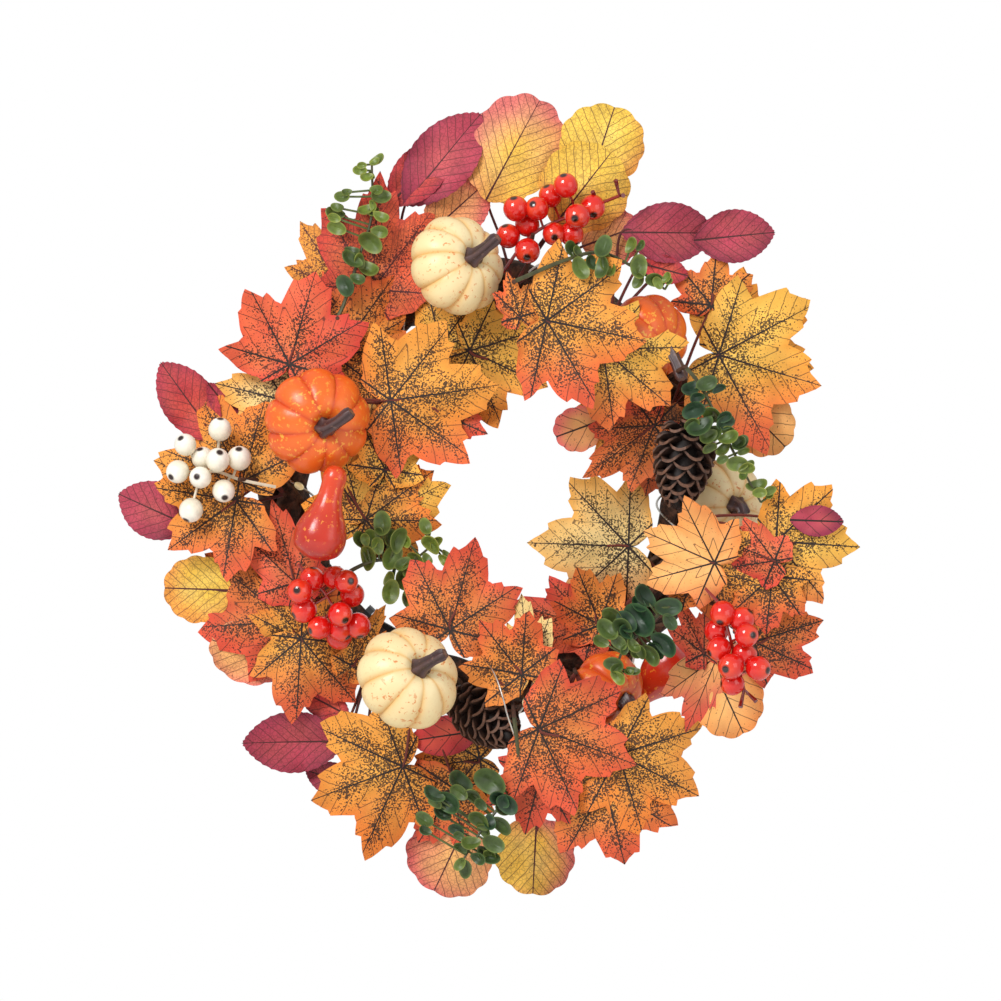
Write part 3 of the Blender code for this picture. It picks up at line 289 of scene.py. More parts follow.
class Skin:
    """Shells gathered into one mesh, with the colour, vein place and print density of every point."""

    def __init__(self):
        self.parts = []
        self.size = 0

    def put(self, points, tris, tone, vein=None, speck=0.0):
        count = len(points)
        tone = np.broadcast_to(tone, (count, 3))
        vein = np.full((count, 2), 9.0) if vein is None else vein
        self.parts.append((points, tris + self.size, tone, vein, np.broadcast_to(speck, count)))
        self.size += count

    def piece(self, name, material, slot, nodes=(), body="wreath"):
        points, tris, tone, vein, speck = (np.concatenate(part) for part in zip(*self.parts))
        mesh = bpy.data.meshes.new(name)
        mesh.vertices.add(len(points))
        mesh.vertices.foreach_set("co", points.astype(np.float32).ravel())
        mesh.loops.add(tris.size)
        mesh.loops.foreach_set("vertex_index", tris.ravel().astype(np.int32))
        mesh.polygons.add(len(tris))
        mesh.polygons.foreach_set("loop_start", np.arange(0, tris.size, 3, dtype=np.int32))
        mesh.update(calc_edges=True)
        colour = mesh.attributes.new("tone", "FLOAT_COLOR", "POINT")
        colour.data.foreach_set("color", np.column_stack([tone, np.ones(len(tone))]).astype(np.float32).ravel())
        mesh.attributes.new("speck", "FLOAT", "POINT").data.foreach_set("value", speck.astype(np.float32))
        uv = mesh.uv_layers.new(name="vein")
        uv.data.foreach_set("uv", vein[tris.ravel()].astype(np.float32).ravel())
        mesh.shade_smooth()
        mesh.set_sharp_from_angle(angle=math.radians(50))
        mesh.materials.append(material)
        obj = bpy.data.objects.new(name, mesh)
        bpy.context.scene.collection.objects.link(obj)
        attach(obj, body)
        if nodes:
            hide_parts(*nodes)
        return obj


# %% [markdown]
# ## Printed leaf cloth
# The leaves are heat-cut polyester cloth, printed with dark veins and a spray of fine specks, and set to a gentle
# curl. The veins are drawn in the leaf's own folded coordinates: x runs along the nearest main vein and y away
# from it, in centimetres, so one ping-pong gives side veins on every lobe. The specks are a 1 mm noise cut off
# at a level that falls where a broader 13 mm noise is high.

# %% Leaf cloth material
def leaf_cloth(name, ink, side_gap, side_width, net):
    """Base colour from the tone attribute, darkened by veins, a net of fine veins, and specks; a weave bump."""
    made, tree, shader = finish(name, Roughness=0.72, Sheen_Weight=0.12, Sheen_Roughness=0.5)
    tone = tone_of(tree)
    speck = add(tree, "Attribute", attribute_name="speck").outputs["Fac"]
    where = add(tree, "TexCoord").outputs["Object"]
    vein = add(tree, "SeparateXYZ", {0: add(tree, "UVMap", uv_map="vein").outputs[0]})
    thin = ramp(tree, vein, 0.0, 5.0, 0.055, 0.02)
    main = combine(tree, "LESS_THAN", vein.outputs[1], thin)
    slant = combine(tree, "MULTIPLY_ADD", vein.outputs[1], -1.15, vein)
    wave = noise(tree, 160.0, 1.0)
    bent = combine(tree, "MULTIPLY_ADD", wave, 0.22, slant)
    fold = combine(tree, "PINGPONG", bent, side_gap / 2)
    side = ramp(tree, fold, side_width, side_width * 0.4, 0.0, 0.75)
    lines = combine(tree, "MAXIMUM", main, side)
    cells = add(tree, "TexVoronoi", {"Vector": where, "Scale": 420.0}, feature="DISTANCE_TO_EDGE")
    mesh_line = ramp(tree, cells.outputs["Distance"], 0.10, 0.03, 0.0, net)
    lines = combine(tree, "MAXIMUM", lines, mesh_line)
    fine = noise(tree, 1050.0, 1.5, 0.6)
    broad = noise(tree, 75.0, 2.0)
    near = ramp(tree, vein.outputs[1], 0.0, 0.7, 0.30, 0.0)
    dense = combine(tree, "ADD", broad, near)
    dense = combine(tree, "MULTIPLY", dense, speck)
    level = ramp(tree, dense, 0.25, 0.80, 0.68, 0.46)
    above = combine(tree, "SUBTRACT", fine, level)
    dots = ramp(tree, above, 0.0, 0.025, 0.0, 0.92)
    inked = combine(tree, "MAXIMUM", dots, lines)
    wash = ramp(tree, broad, 0.3, 0.7, 0.82, 1.12)
    washed = add(tree, "VectorMath", {0: tone, 3: wash}, operation="SCALE")
    colour = add(tree, "Mix", {0: inked, 6: washed, 7: rgba(ink)}, data_type="RGBA")
    join(colour.outputs[2], shader, "Base Color")
    weave = noise(tree, 1100.0, 0.0)
    raised = combine(tree, "MULTIPLY_ADD", lines, 1.5, weave)
    emboss(shader, raised, 0.25, 0.0004)
    return made


maple_cloth = leaf_cloth("printed polyester cloth, maple", "#24140C", 0.85, 0.045, 0.0)
rib_cloth = leaf_cloth("printed polyester cloth, ribbed", "#4A1A1C", 0.62, 0.045, 0.35)
print("leaf cloth materials:", maple_cloth.name, "and", rib_cloth.name)

# %% [markdown]
# ## Leaf outlines
# A maple leaf is given by how far its edge reaches at each angle from its heading: three big lobes, two small ones,
# each with two teeth. Oval and round leaves are ellipses with sharpened ends and a saw or scallop on the edge.

# %% Outlines, one leaf long
MAPLE_EDGE = np.array([
    (0, 1.0), (5, 0.91), (10, 0.85), (14, 0.87), (19, 0.77), (25, 0.66), (30, 0.69), (35, 0.81), (39, 0.80),
    (44, 0.90), (48, 0.97), (53, 0.89), (58, 0.82), (62, 0.83), (68, 0.72), (76, 0.58), (82, 0.61), (88, 0.69),
    (94, 0.76), (100, 0.65), (108, 0.57), (116, 0.46), (126, 0.37), (137, 0.34), (146, 0.26), (160, 0.14), (180, 0.05),
])
MAPLE_PLAN = [(20, 0.56), (36, 0.76), (50, 0.92), (76, 0.46), (106, 0.60), (150, 0.28)]
OVAL_PLAN = [(0.14, 0.52), (0.36, 0.96), (0.60, 0.96), (0.82, 0.58)]


def edge_of(kind, seed):
    """The outline of a leaf of length 1 as (along, across), and the point along it that it spreads from."""
    if kind == "maple":
        turn = np.radians(np.unique(np.concatenate([np.arange(0, 181, 3), MAPLE_EDGE[:, 0], [45, 90, 135]])))
        turn = np.concatenate([turn, -turn[-2:0:-1]])
        reach = np.interp(np.degrees(np.abs(turn)), *MAPLE_EDGE.T)
        reach *= 1 + 0.035 * np.sin(3 * turn + seed) + 0.02 * np.sin(17 * turn + 2 * seed)
        return np.stack([reach * np.cos(turn), reach * np.sin(turn)], -1), 0.0
    turn = np.arange(96) * math.tau / 96
    sharp, teeth, bite = (1.55, 34, 0.020) if kind == "oval" else (0.94, 11, 0.030)
    if kind == "oval":
        saw = 1 + bite * np.abs(((turn * teeth / math.tau) % 1) - 0.5) * 4 - bite
    else:
        saw = 1 - bite + 2 * bite * np.abs(np.sin(teeth * turn / 2)) + 0.02 * np.sin(3 * turn + seed)
    across = 0.5 * np.sign(np.sin(turn)) * np.abs(np.sin(turn)) ** sharp * saw
    return np.stack([0.5 * np.cos(turn) * saw, across], -1), 0.5


def plan_of(kind, width):
    """The plain outline the CAD model uses, as (along, across) for a leaf of length 1."""
    if kind == "maple":
        half = [(math.radians(a), reach) for a, reach in MAPLE_PLAN]
        rim = [(reach * math.cos(a), -width * reach * math.sin(a)) for a, reach in reversed(half)]
        rim += [(1.0, 0.0)] + [(reach * math.cos(a), width * reach * math.sin(a)) for a, reach in half]
    elif kind == "oval":
        rim = [(-0.02, 0.0)] + [(t, s * width / 2 * w) for s in (-1, 1) for t, w in OVAL_PLAN] + [(1.0, 0.0)]
    else:
        turns = np.radians(np.linspace(-150, 150, 9))
        rim = [(-0.02, 0.0)] + [(0.5 + 0.5 * math.cos(a), width / 2 * math.sin(a)) for a in turns]
    return np.array([(0.10, 0.0), *rim])


# %% [markdown]
# ## Leaf colours
# Each cloth has a colour at its heart, one at its edge and one blotch washed over it, and a print density.

# %% Cloth colours
CLOTHS = {
    "gold": ("#F6B848", "#F0982E", "#FBD266", 1.0),
    "amber": ("#F2A03C", "#EA7E28", "#F8BC50", 1.25),
    "orange": ("#F08E38", "#E25C2A", "#F5AC48", 1.15),
    "rust": ("#E87C36", "#D6482C", "#F2A048", 1.25),
    "coral": ("#E8603C", "#D64030", "#F29250", 1.0),
    "pale": ("#F6D488", "#F1AE4C", "#FAE4A4", 1.0),
    "plain": ("#F6B062", "#EE8E44", "#FAC680", 0.12),
    "brown": ("#B06830", "#C47034", "#86502C", 1.3),
    "crimson": ("#CE3A3A", "#A8283E", "#E4704A", 0.25),
    "wine": ("#B43A50", "#8E2442", "#D0605A", 0.25),
    "pink": ("#F0A468", "#DE6460", "#F5C66C", 0.3),
    "lemon": ("#F7C948", "#EF9C3C", "#F9DC74", 0.35),
    "blush": ("#F7C448", "#E3706A", "#F6D27C", 0.4),
}

# Kind, right, up, heading, length, width share, cloth. The last leaf of a spray is its front one.
SPRAYS = {
    "round_spray_6_oclock": ("gold_leaf", (4, -106), [
        ("round", -12, -178, 245, 38, 1.20, "pink"),
        ("round", 26, -173, 267, 40, 1.05, "blush"),
    ]),
    "round_spray_12_oclock": ("gold_leaf", (14, 105), [
        ("round", 50, 126, 20, 31, 1.05, "pink"),
        ("round", 54, 160, 72, 42, 1.05, "lemon"),
        ("round", 0, 151, 62, 60, 0.80, "blush"),
        ("round", 36, 138, 52, 47, 1.00, "lemon"),
    ]),
    "leaf_spray_11_oclock": ("red_leaf", (-52, 92), [
        ("oval", -32, 131, 42, 44, 0.70, "pink"),
        ("oval", -43, 147, 51, 63, 0.54, "wine"),
        ("oval", -51, 147, 48, 46, 0.56, "crimson"),
        ("maple", -74, 101, 122, 45, 0.62, "amber"),
        ("maple", -60, 103, 86, 62, 0.66, "coral"),
    ]),
    "oval_spray_1_oclock": ("red_leaf", (64, 85), [
        ("oval", 108, 129, 6, 43, 0.66, "wine"),
        ("oval", 70, 133, 0, 50, 0.64, "wine"),
        ("oval", 80, 117, -15, 26, 0.58, "crimson"),
    ]),
    "maple_spray_2_oclock": ("gold_leaf", (97, 43), [
        ("round", 132, 45, -45, 34, 1.00, "plain"),
        ("maple", 127, 72, 34, 48, 0.95, "gold"),
        ("maple", 117, 95, 84, 28, 1.00, "orange"),
        ("maple", 121, 69, -17, 57, 1.00, "gold"),
    ]),
    "oval_spray_9_oclock": ("red_leaf", (-106, -4), [
        ("oval", -154, -21, 156, 43, 0.70, "wine"),
        ("oval", -141, 24, 126, 51, 0.56, "crimson"),
        ("oval", -130, 34, 128, 26, 0.50, "wine"),
    ]),
    "round_spray_8_oclock": ("gold_leaf", (-95, -47), [
        ("round", -134, -54, 178, 35, 1.00, "lemon"),
        ("round", -105, -94, 160, 42, 0.75, "pink"),
    ]),
    "oval_spray_7_oclock": ("red_leaf", (-58, -89), [
        ("oval", -66, -158, 162, 31, 0.58, "wine"),
        ("oval", -72, -120, 152, 30, 0.56, "crimson"),
        ("oval", -74, -133, 181, 54, 0.60, "wine"),
    ]),
    "maple_spray_8_oclock": ("orange_leaf", (-93, -51), [
        ("maple", -97, -79, 172, 33, 0.80, "orange"),
        ("maple", -103, -70, 142, 56, 0.90, "rust"),
        ("maple", -97, -80, 126, 42, 0.50, "amber"),
        ("maple", -100, -50, 106, 46, 0.60, "coral"),
        ("maple", -97, -79, -50, 46, 0.95, "amber"),
        ("maple", -71, -93, 60, 38, 0.40, "amber"),
    ]),
    "maple_spray_9_oclock": ("orange_leaf", (-107, 6), [
        ("maple", -105, 45, 166, 37, 0.90, "pale"),
        ("maple", -131, -2, 160, 45, 0.95, "amber"),
        ("maple", -128, 3, 116, 52, 0.90, "amber"),
        ("maple", -131, -7, 216, 44, 1.00, "amber"),
    ]),
    "maple_spray_12_inner": ("gold_leaf", (-14, 104), [
        ("maple", -24, 74, 14, 50, 0.85, "gold"),
        ("maple", -9, 71, -25, 47, 0.90, "gold"),
    ]),
    "maple_spray_10_oclock": ("red_leaf", (-89, 58), [
        ("maple", -78, 67, -8, 48, 0.80, "amber"),
        ("maple", -79, 68, 54, 51, 0.95, "orange"),
        ("maple", -103, 64, 74, 50, 0.95, "coral"),
    ]),
    "maple_spray_10_inner": ("orange_leaf", (-97, 42), [
        ("maple", -60, 9, 90, 38, 0.60, "pale"),
        ("maple", -65, -20, 66, 56, 0.80, "gold"),
        ("maple", -63, -17, 36, 46, 0.75, "amber"),
        ("maple", -53, 9, 82, 38, 0.70, "gold"),
        ("maple", -32, 42, -24, 34, 0.85, "rust"),
        ("maple", -50, 45, 8, 56, 0.95, "amber"),
    ]),
    "maple_spray_7_oclock": ("orange_leaf", (-36, -100), [
        ("maple", -4, -142, 190, 38, 0.85, "amber"),
        ("oval", -3, -127, 189, 38, 0.56, "crimson"),
        ("maple", -17, -158, 236, 36, 0.90, "orange"),
        ("maple", -44, -146, 200, 52, 1.00, "amber"),
    ]),
    "maple_spray_4_inner": ("gold_leaf", (94, -49), [
        ("maple", 74, -31, 178, 51, 1.00, "pale"),
        ("maple", 56, -73, 165, 46, 0.60, "coral"),
        ("maple", 59, -72, 112, 33, 0.85, "orange"),
    ]),
    "maple_spray_3_inner": ("orange_leaf", (101, 30), [
        ("round", 60, 35, 200, 26, 0.90, "pink"),
        ("maple", 85, 37, 174, 41, 0.85, "gold"),
        ("maple", 90, 35, 260, 42, 0.70, "brown"),
        ("maple", 87, 32, 216, 45, 0.65, "rust"),
    ]),
    "maple_spray_6_oclock": ("orange_leaf", (10, -105), [
        ("maple", -19, -74, 75, 48, 0.90, "rust"),
        ("maple", 22, -95, 96, 40, 0.50, "pale"),
        ("maple", 18, -97, 128, 36, 0.90, "orange"),
    ]),
    "maple_spray_5_oclock": ("orange_leaf", (46, -96), [
        ("maple", 28, -147, 256, 35, 0.90, "coral"),
        ("maple", 61, -154, 284, 45, 0.95, "amber"),
        ("maple", 68, -138, -28, 47, 1.00, "amber"),
        ("maple", 27, -125, -20, 51, 1.00, "rust"),
    ]),
    "maple_spray_4_oclock": ("red_leaf", (92, -53), [
        ("round", 117, -94, -65, 37, 1.00, "plain"),
        ("maple", 138, -80, 17, 38, 0.90, "rust"),
        ("maple", 119, -87, 248, 44, 0.60, "pink"),
        ("maple", 112, -86, 116, 31, 0.50, "coral"),
    ]),
    "maple_spray_3_oclock": ("orange_leaf", (105, -16), [
        ("oval", 156, -17, -2, 28, 0.58, "wine"),
        ("maple", 149, -28, -4, 42, 1.05, "gold"),
        ("maple", 147, -46, 264, 30, 0.90, "amber"),
        ("maple", 106, -41, -14, 47, 0.75, "amber"),
        ("maple", 148, -38, 158, 34, 0.60, "coral"),
        ("maple", 117, -39, 156, 42, 0.80, "plain"),
    ]),
    "maple_spray_1_oclock": ("orange_leaf", (30, 101), [
        ("maple", 60, 71, -40, 47, 0.90, "gold"),
        ("maple", 17, 88, 106, 24, 0.60, "orange"),
        ("maple", 31, 86, -12, 51, 1.10, "amber"),
    ]),
}
print(len(SPRAYS), "sprays with", sum(len(leaves) for _, _, leaves in SPRAYS.values()), "leaves")

# %% [markdown]
# ## Leaves
# Every leaf hangs on one dish-shaped surface, as in the CAD model, and is stepped forward by its place in the
# spray. To that the cloth adds its own set: it tilts a little, curls at the tip, creases along its main veins and
# ripples at the edge. The amounts come from the leaf's number, so the scene is the same every time.


# %% One leaf
def droop(points):
    """How far back a leaf hangs: a parabola in the distance from the ring's own circle."""
    reach = np.hypot(points[:, 0], points[:, 2] - RING_Z) / RING_RADIUS
    return LEAF_DROOP * (reach - 1) ** 2


def billow(points):
    """A slow wave that every leaf follows, so that layers rise and fall together: a product of two sines."""
    x, z = points[:, 0], points[:, 2]
    return 0.0042 * np.sin(88 * x + 1.4 * np.sin(52 * z)) * np.cos(71 * z + 0.8)


def lay_out(along, across, leaf):
    """Points of a leaf, given in metres along and across its heading, on the wreath's front plane."""
    _, right, up, heading, *_ = leaf
    turn = math.radians(heading)
    base = place(right, up)
    x = base[0] + along * math.cos(turn) - across * math.sin(turn)
    z = base[2] + along * math.sin(turn) + across * math.cos(turn)
    return np.stack([x, np.zeros_like(x), z], -1)


def plan_front(leaves):
    """The most forward point of the CAD model's plain plates for these leaves, before they are laid in place."""
    fronts = []
    for order, (kind, right, up, heading, length, width, cloth) in enumerate(leaves):
        along, across = (plan_of(kind, width) * length * MM).T
        points = lay_out(along, across, leaves[order])
        fronts.append((droop(points) - LEAF_STEP * order).min() - LEAF_PLATE / 2)
    return min(fronts)


RINGS = np.array([0.16, 0.32, 0.48, 0.62, 0.75, 0.86, 0.94, 1.0])


def put_leaf(skin, leaf, order, depth, seed, front):
    """One curled leaf, whose base is order steps in front of depth; only a spray's front leaf curls forward."""
    kind, right, up, heading, length, width, cloth = leaf
    size = length * MM
    outline, start = edge_of(kind, seed)
    flat, share, tris = spread(outline, RINGS)
    along, across = flat[:, 0] + start, flat[:, 1]
    if kind == "maple":
        turn, reach = np.abs(np.arctan2(across, along)), np.hypot(along, across)
        fold = np.abs((turn + math.pi / 8) % (math.pi / 4) - math.pi / 8)
        vein = np.stack([reach * np.cos(fold), reach * np.sin(fold)], -1)
        crease = 0.10 * vein[:, 1] - 0.05 * (reach > 0.4) * (reach - 0.4) ** 2
    else:
        across = across * width
        vein = np.stack([along, np.abs(across)], -1)
        crease = -0.16 * np.abs(across) if kind == "oval" else 0.05 * np.abs(across)
    swing = np.sin(np.array([1.7, 2.9, 4.1, 5.3]) * (seed + 1))
    wide = across * (width if kind == "maple" else 1.0)
    curl = -0.03 - 0.13 * abs(swing[2]) if front else 0.03 + 0.20 * abs(swing[2])
    bow = 0.04 * swing[0] * along + 0.06 * swing[1] * wide + curl * along * np.abs(along)
    bow = bow + (-0.22 if front else 0.26) * abs(swing[3]) * wide**2 + 0.10 * swing[0] * along * wide
    ripple = 0.030 * share**3 * np.sin(5 * np.arctan2(across, along - start * 0.9) + 3 * swing[3])
    points = lay_out(along * size, wide * size, leaf)
    rise = (bow + 1.5 * crease + ripple) * size
    points[:, 1] = depth + droop(points) + billow(points) - LEAF_STEP * order + rise - rise[0]
    heart, edge, blotch = (linear(text) for text in CLOTHS[cloth][:3])
    wash = 0.5 + 0.5 * np.sin(9 * along + 4 * swing[0]) * np.sin(11 * across + 5 * swing[1])
    side = (along - 0.35) * swing[1] + across * swing[2]
    blend = np.clip(0.75 * share**2.2 + 1.3 * side + 0.3 * (wash - 0.5), 0, 1)[:, None]
    tone = heart * (1 - blend) + edge * blend
    tone = tone + (blotch - tone) * (0.6 * wash * (1 - share**2))[:, None]
    below = (place(right, up)[2] - points[: len(flat), 2]) / size
    flush = np.clip(1.7 * below - 0.25, 0, 1) * np.clip(1.5 * abs(swing[3]) - 0.3, 0, 0.85) * (kind == "maple")
    tone = tone + (linear("#DB4A2E") - tone) * flush[:, None]
    thick, faces = shell(points, tris, len(outline), (0, 0.0004, 0))
    density = CLOTHS[cloth][3] * (1 - 0.6 * share**4)
    # Painted shade: the back copy of each leaf is a tenth darker than its front.
    skin.put(thick, faces, np.vstack([tone, tone * 0.9]), np.tile(vein * length / 10, (2, 1)), np.tile(density, 2))


def put_stalk(skin, leaf, order, depth, hub):
    """A wire stalk from the spray's hub to behind the leaf's base: a curve that leaves the hub backwards."""
    _, right, up, heading, length, *_ = leaf
    turn = math.radians(heading)
    base = place(right, up)
    base[1] = depth + droop(base[None])[0] + billow(base[None])[0] - LEAF_STEP * order + 0.0006
    tip = base + 0.22 * length * MM * np.array([math.cos(turn), 0.002, math.sin(turn)])
    root = place(*hub, depth + 0.0022)
    middle = (root + base) / 2 + (0, 0.002, 0.002)
    path = smooth_curve([root, middle, base, tip], 5)
    skin.put(*tube(path, np.linspace(0.0009, 0.0006, len(path)), 6), linear("#6E2A1C"))


# %% Every spray
leaf_number = 0
for node, (slot, hub, leaves) in SPRAYS.items():
    depth = front_of(node) - plan_front(leaves)
    skin = Skin()
    for order, leaf in enumerate(leaves):
        put_leaf(skin, leaf, order, depth, leaf_number, order == len(leaves) - 1)
        put_stalk(skin, leaf, order, depth, hub)
        leaf_number += 1
    ribbed = sum(leaf[0] != "maple" for leaf in leaves) * 2 > len(leaves)
    skin.piece("cloth_" + node, rib_cloth if ribbed else maple_cloth, slot, [node])
print(leaf_number, "leaves made")

# %% [markdown]
# ## Painted foam pumpkins
# A mini pumpkin is a squashed ball whose skin is drawn in along nine grooves, with a dimple at the crown where
# the stem plugs in. Cream and orange ones are both painted foam: a satin coat, flecked. Shade is painted into the
# grooves and round the crown and foot, and a highlight is painted over the crown half.


# %% Foam paint
def foam_paint(name, roughness, fleck, fleck_level, dark):
    """Tone attribute flecked by a 2.4 mm noise above a level, dimmed slightly by a broad noise, pitted by bump."""
    made, tree, shader = finish(name, Roughness=roughness, Coat_Weight=0.18, Coat_Roughness=0.3)
    tone = tone_of(tree)
    fine = noise(tree, 420.0, 2.0, 0.65)
    broad = noise(tree, 60.0, 2.0)
    spots = ramp(tree, fine, fleck_level, fleck_level + 0.05, 0.0, 0.85)
    patch = ramp(tree, broad, 0.42, 0.58, 0.15, 1.0)
    spots = combine(tree, "MULTIPLY", spots, patch)
    shade = ramp(tree, broad, 0.35, 0.65, 0.0, 0.22)
    worn = add(tree, "Mix", {0: shade, 6: tone, 7: rgba(dark)}, data_type="RGBA")
    colour = add(tree, "Mix", {0: spots, 6: worn.outputs[2], 7: rgba(fleck)}, data_type="RGBA")
    join(colour.outputs[2], shader, "Base Color")
    pits = noise(tree, 350.0, 3.0)
    emboss(shader, pits, 0.25, 0.0006)
    return made


cream_paint = foam_paint("painted foam, cream", 0.42, "#D9782C", 0.60, "#E9B96E")
orange_paint = foam_paint("painted foam, orange", 0.34, "#F6AE3C", 0.575, "#C0330C")
stem_paint = foam_paint("painted foam, stem", 0.45, "#6E5148", 0.60, "#1E1012")
print("foam paints ready")

# %% Pumpkin bodies and stems
PUMPKINS = {
    "cream_pumpkin_1": ("cream", -16, 115, 26.5, 38, 24, 13, 10, 12),
    "cream_pumpkin_2": ("cream", -41, -99, 27.5, 34, 41, 13, 8, 12),
    "cream_pumpkin_3": ("cream", 122, -9, 24.0, 30, -6, 4, -4, 6),
    "orange_pumpkin_1": ("orange", -88, 34, 28.0, 20, -37, 14, 8, 12),
    "orange_pumpkin_2": ("orange", 82, 76, 25.0, 42, -19, 10, -17, 12),
    "orange_pumpkin_3": ("orange", 61, -108, 23.5, 52, -20, -4, -14, 12),
}
LOBES = 9
# Each kind: the paint's colour, a darker painted shade for the grooves and round the crown and foot, and a lighter
# painted highlight for the crown half.
SKIN_COLOURS = {"cream": ("#F3DCA4", "#DFA856", "#F7E8C0"), "orange": ("#F06216", "#C8380E", "#F88428")}


def ribs(turn, profile):
    """The radius is drawn in by up to a tenth along each groove, less near the axis."""
    depth = 0.10 * np.clip((profile[:, 0] / profile[:, 0].max() - 0.12) / 0.35, 0, 1)[:, None]
    return 1 - depth * (1 - np.abs(np.sin(LOBES * turn / 2)) ** 0.55)


def put_pumpkin(node):
    """A smooth profile turned with ribs, then its ridged stem, which flares where it meets the crown."""
    kind, right, up, radius, tilt, towards, run_right, run_up, forward = PUMPKINS[node]
    radius *= MM
    half = 0.70 * radius
    tilt, towards = math.radians(tilt), math.radians(towards)
    axis = np.array([math.sin(tilt) * math.cos(towards), -math.cos(tilt), math.sin(tilt) * math.sin(towards)])
    rows = [(0.02, -0.74), (0.14, -0.80), (0.32, -0.86), (0.62, -0.74), (0.88, -0.45), (0.99, -0.10), (0.98, 0.22),
            (0.84, 0.58), (0.60, 0.84), (0.38, 0.92), (0.22, 0.86), (0.12, 0.76), (0.02, 0.72)]
    profile = smooth_curve(np.array(rows) * (radius, half), 6)
    raw, tris = turned(profile, 126, ribs)
    points = turn_to(raw, axis, place(right, up))
    depth = front_of(node) - points[:, 1].min()
    points[:, 1] += depth
    heart, groove, light = (linear(text) for text in SKIN_COLOURS[kind])
    turn = np.arctan2(raw[:, 1], raw[:, 0])
    # Painted shade: darker in the grooves and near the axis at crown and foot. Painted highlight: lighter over the
    # crown half, which faces the front.
    groove_shade = (1 - np.abs(np.sin(LOBES * turn / 2))) ** 2.2
    reach = np.hypot(raw[:, 0], raw[:, 1]) / radius
    groove_shade = np.clip(groove_shade * 0.75 + np.clip(0.30 - reach, 0, 1) * 2.2, 0, 1)[:, None]
    sun = np.clip(raw[:, 2] / half, 0, 1)[:, None] * 0.4
    tone = (heart + (light - heart) * sun) * (1 - groove_shade) + groove * groove_shade
    skin = Skin()
    skin.put(points, tris, tone)
    skin.piece("painted_" + node, cream_paint if kind == "cream" else orange_paint, kind + "_foam", [node])

    centre = place(right, up, depth)
    foot = centre + axis * 0.70 * half
    crown = centre + axis * (0.74 * half + 0.0015)
    tip = crown + MM * np.array([run_right, -forward, run_up])
    t = np.linspace(0, 1, 16)[:, None]
    bend = crown + axis * 0.008
    path = np.vstack([foot, (1 - t) ** 2 * crown + 2 * t * (1 - t) * bend + t**2 * tip])
    width = 0.0042 * np.interp(np.linspace(0, 1, 17), [0, 0.1, 0.3, 0.7, 0.93, 1.0], [1.25, 1.3, 0.86, 0.68, 0.78, 0.6])
    stem, stem_tris = tube(path, width, 40, ridges=lambda turn: 1 + 0.13 * np.cos(5 * turn) + 0.04 * np.cos(11 * turn))
    dark, grey, end = linear("#3A2224"), linear("#5B4140"), linear("#8A6A58")
    # Painted highlight: the stem's ridge tops are painted lighter, towards grey, than the dark brown between them.
    ridge = np.tile((0.5 + 0.5 * np.cos(5 * np.arange(40) * math.tau / 40)) ** 2, 17)[:, None]
    bark = dark + (grey - dark) * ridge
    tone = np.vstack([bark, dark[None], end[None]])
    skin = Skin()
    skin.put(stem, stem_tris, tone)
    skin.piece("painted_" + node + "_stem", stem_paint, "stem_foam", [node + "_stem"])


for node in PUMPKINS:
    put_pumpkin(node)
print(len(PUMPKINS), "pumpkins with ribs and stems")

# %% [markdown]
# ## Gourds
# A bottle gourd is a turned profile with a long neck. It is lacquered foam, orange-red at the neck, deep red below.

# %% Gourds
GOURDS = {"red_gourd_1": (-86, -25, 76), "red_gourd_2": (95, -95, 222)}
GOURD_ROWS = [(0.02, 0.1), (0.22, 0.3), (0.52, 1.6), (0.84, 4.6), (0.99, 9.5), (0.98, 15.0), (0.84, 21.0), (0.62, 27.0),
              (0.48, 33.0), (0.44, 39.0), (0.46, 44.0), (0.36, 47.8), (0.16, 49.6), (0.02, 50.0)]
lacquer = foam_paint("lacquered foam, red", 0.22, "#E98A2C", 0.61, "#8E0E06")
lacquer.node_tree.nodes["Principled BSDF"].inputs["Coat Weight"].default_value = 0.5
for node, (right, up, heading) in GOURDS.items():
    turn = math.radians(heading)
    rows = smooth_curve(np.array([(reach * 0.0135, (height - 13.0) * MM) for reach, height in GOURD_ROWS]), 5)
    raw, tris = turned(rows, 64, lambda turn, profile: 1 + 0.015 * np.cos(6 * turn))
    points = turn_to(raw, (math.cos(turn), 0, math.sin(turn)), place(right, up, middle_of(node)))
    t = np.clip((raw[:, 2] + 0.013) / 0.05, 0, 1)[:, None]
    skin = Skin()
    skin.put(points, tris, linear("#B8180C") * (1 - t) + linear("#E84A1E") * t)
    skin.piece("lacquered_" + node, lacquer, "gourd_foam", [node])
print("gourds done")

# %% [markdown]
# ## Pine cones
# A real cone: woody scales stand out from a core in a spiral. Each scale is a small cupped wedge with a thick, paler
# lip, and the next one is turned by the golden angle, about 137.5 degrees, and set a little further along.

# %% Cone scales
GOLDEN_ANGLE = 2.39996
CONE_SCALES = 70
CONES = {"pine_cone_1": (101, 9, 262, 22), "pine_cone_2": (2, -121, -42, 50)}
# Dry and matt, with a fine grain that breaks up the dark of the scales.
scale_wood = mottled("dried cone wood", None, (500.0, 3.0), (0.3, 0.7, 0.55, 1.35), (0.4, 0.0005), Roughness=0.62)


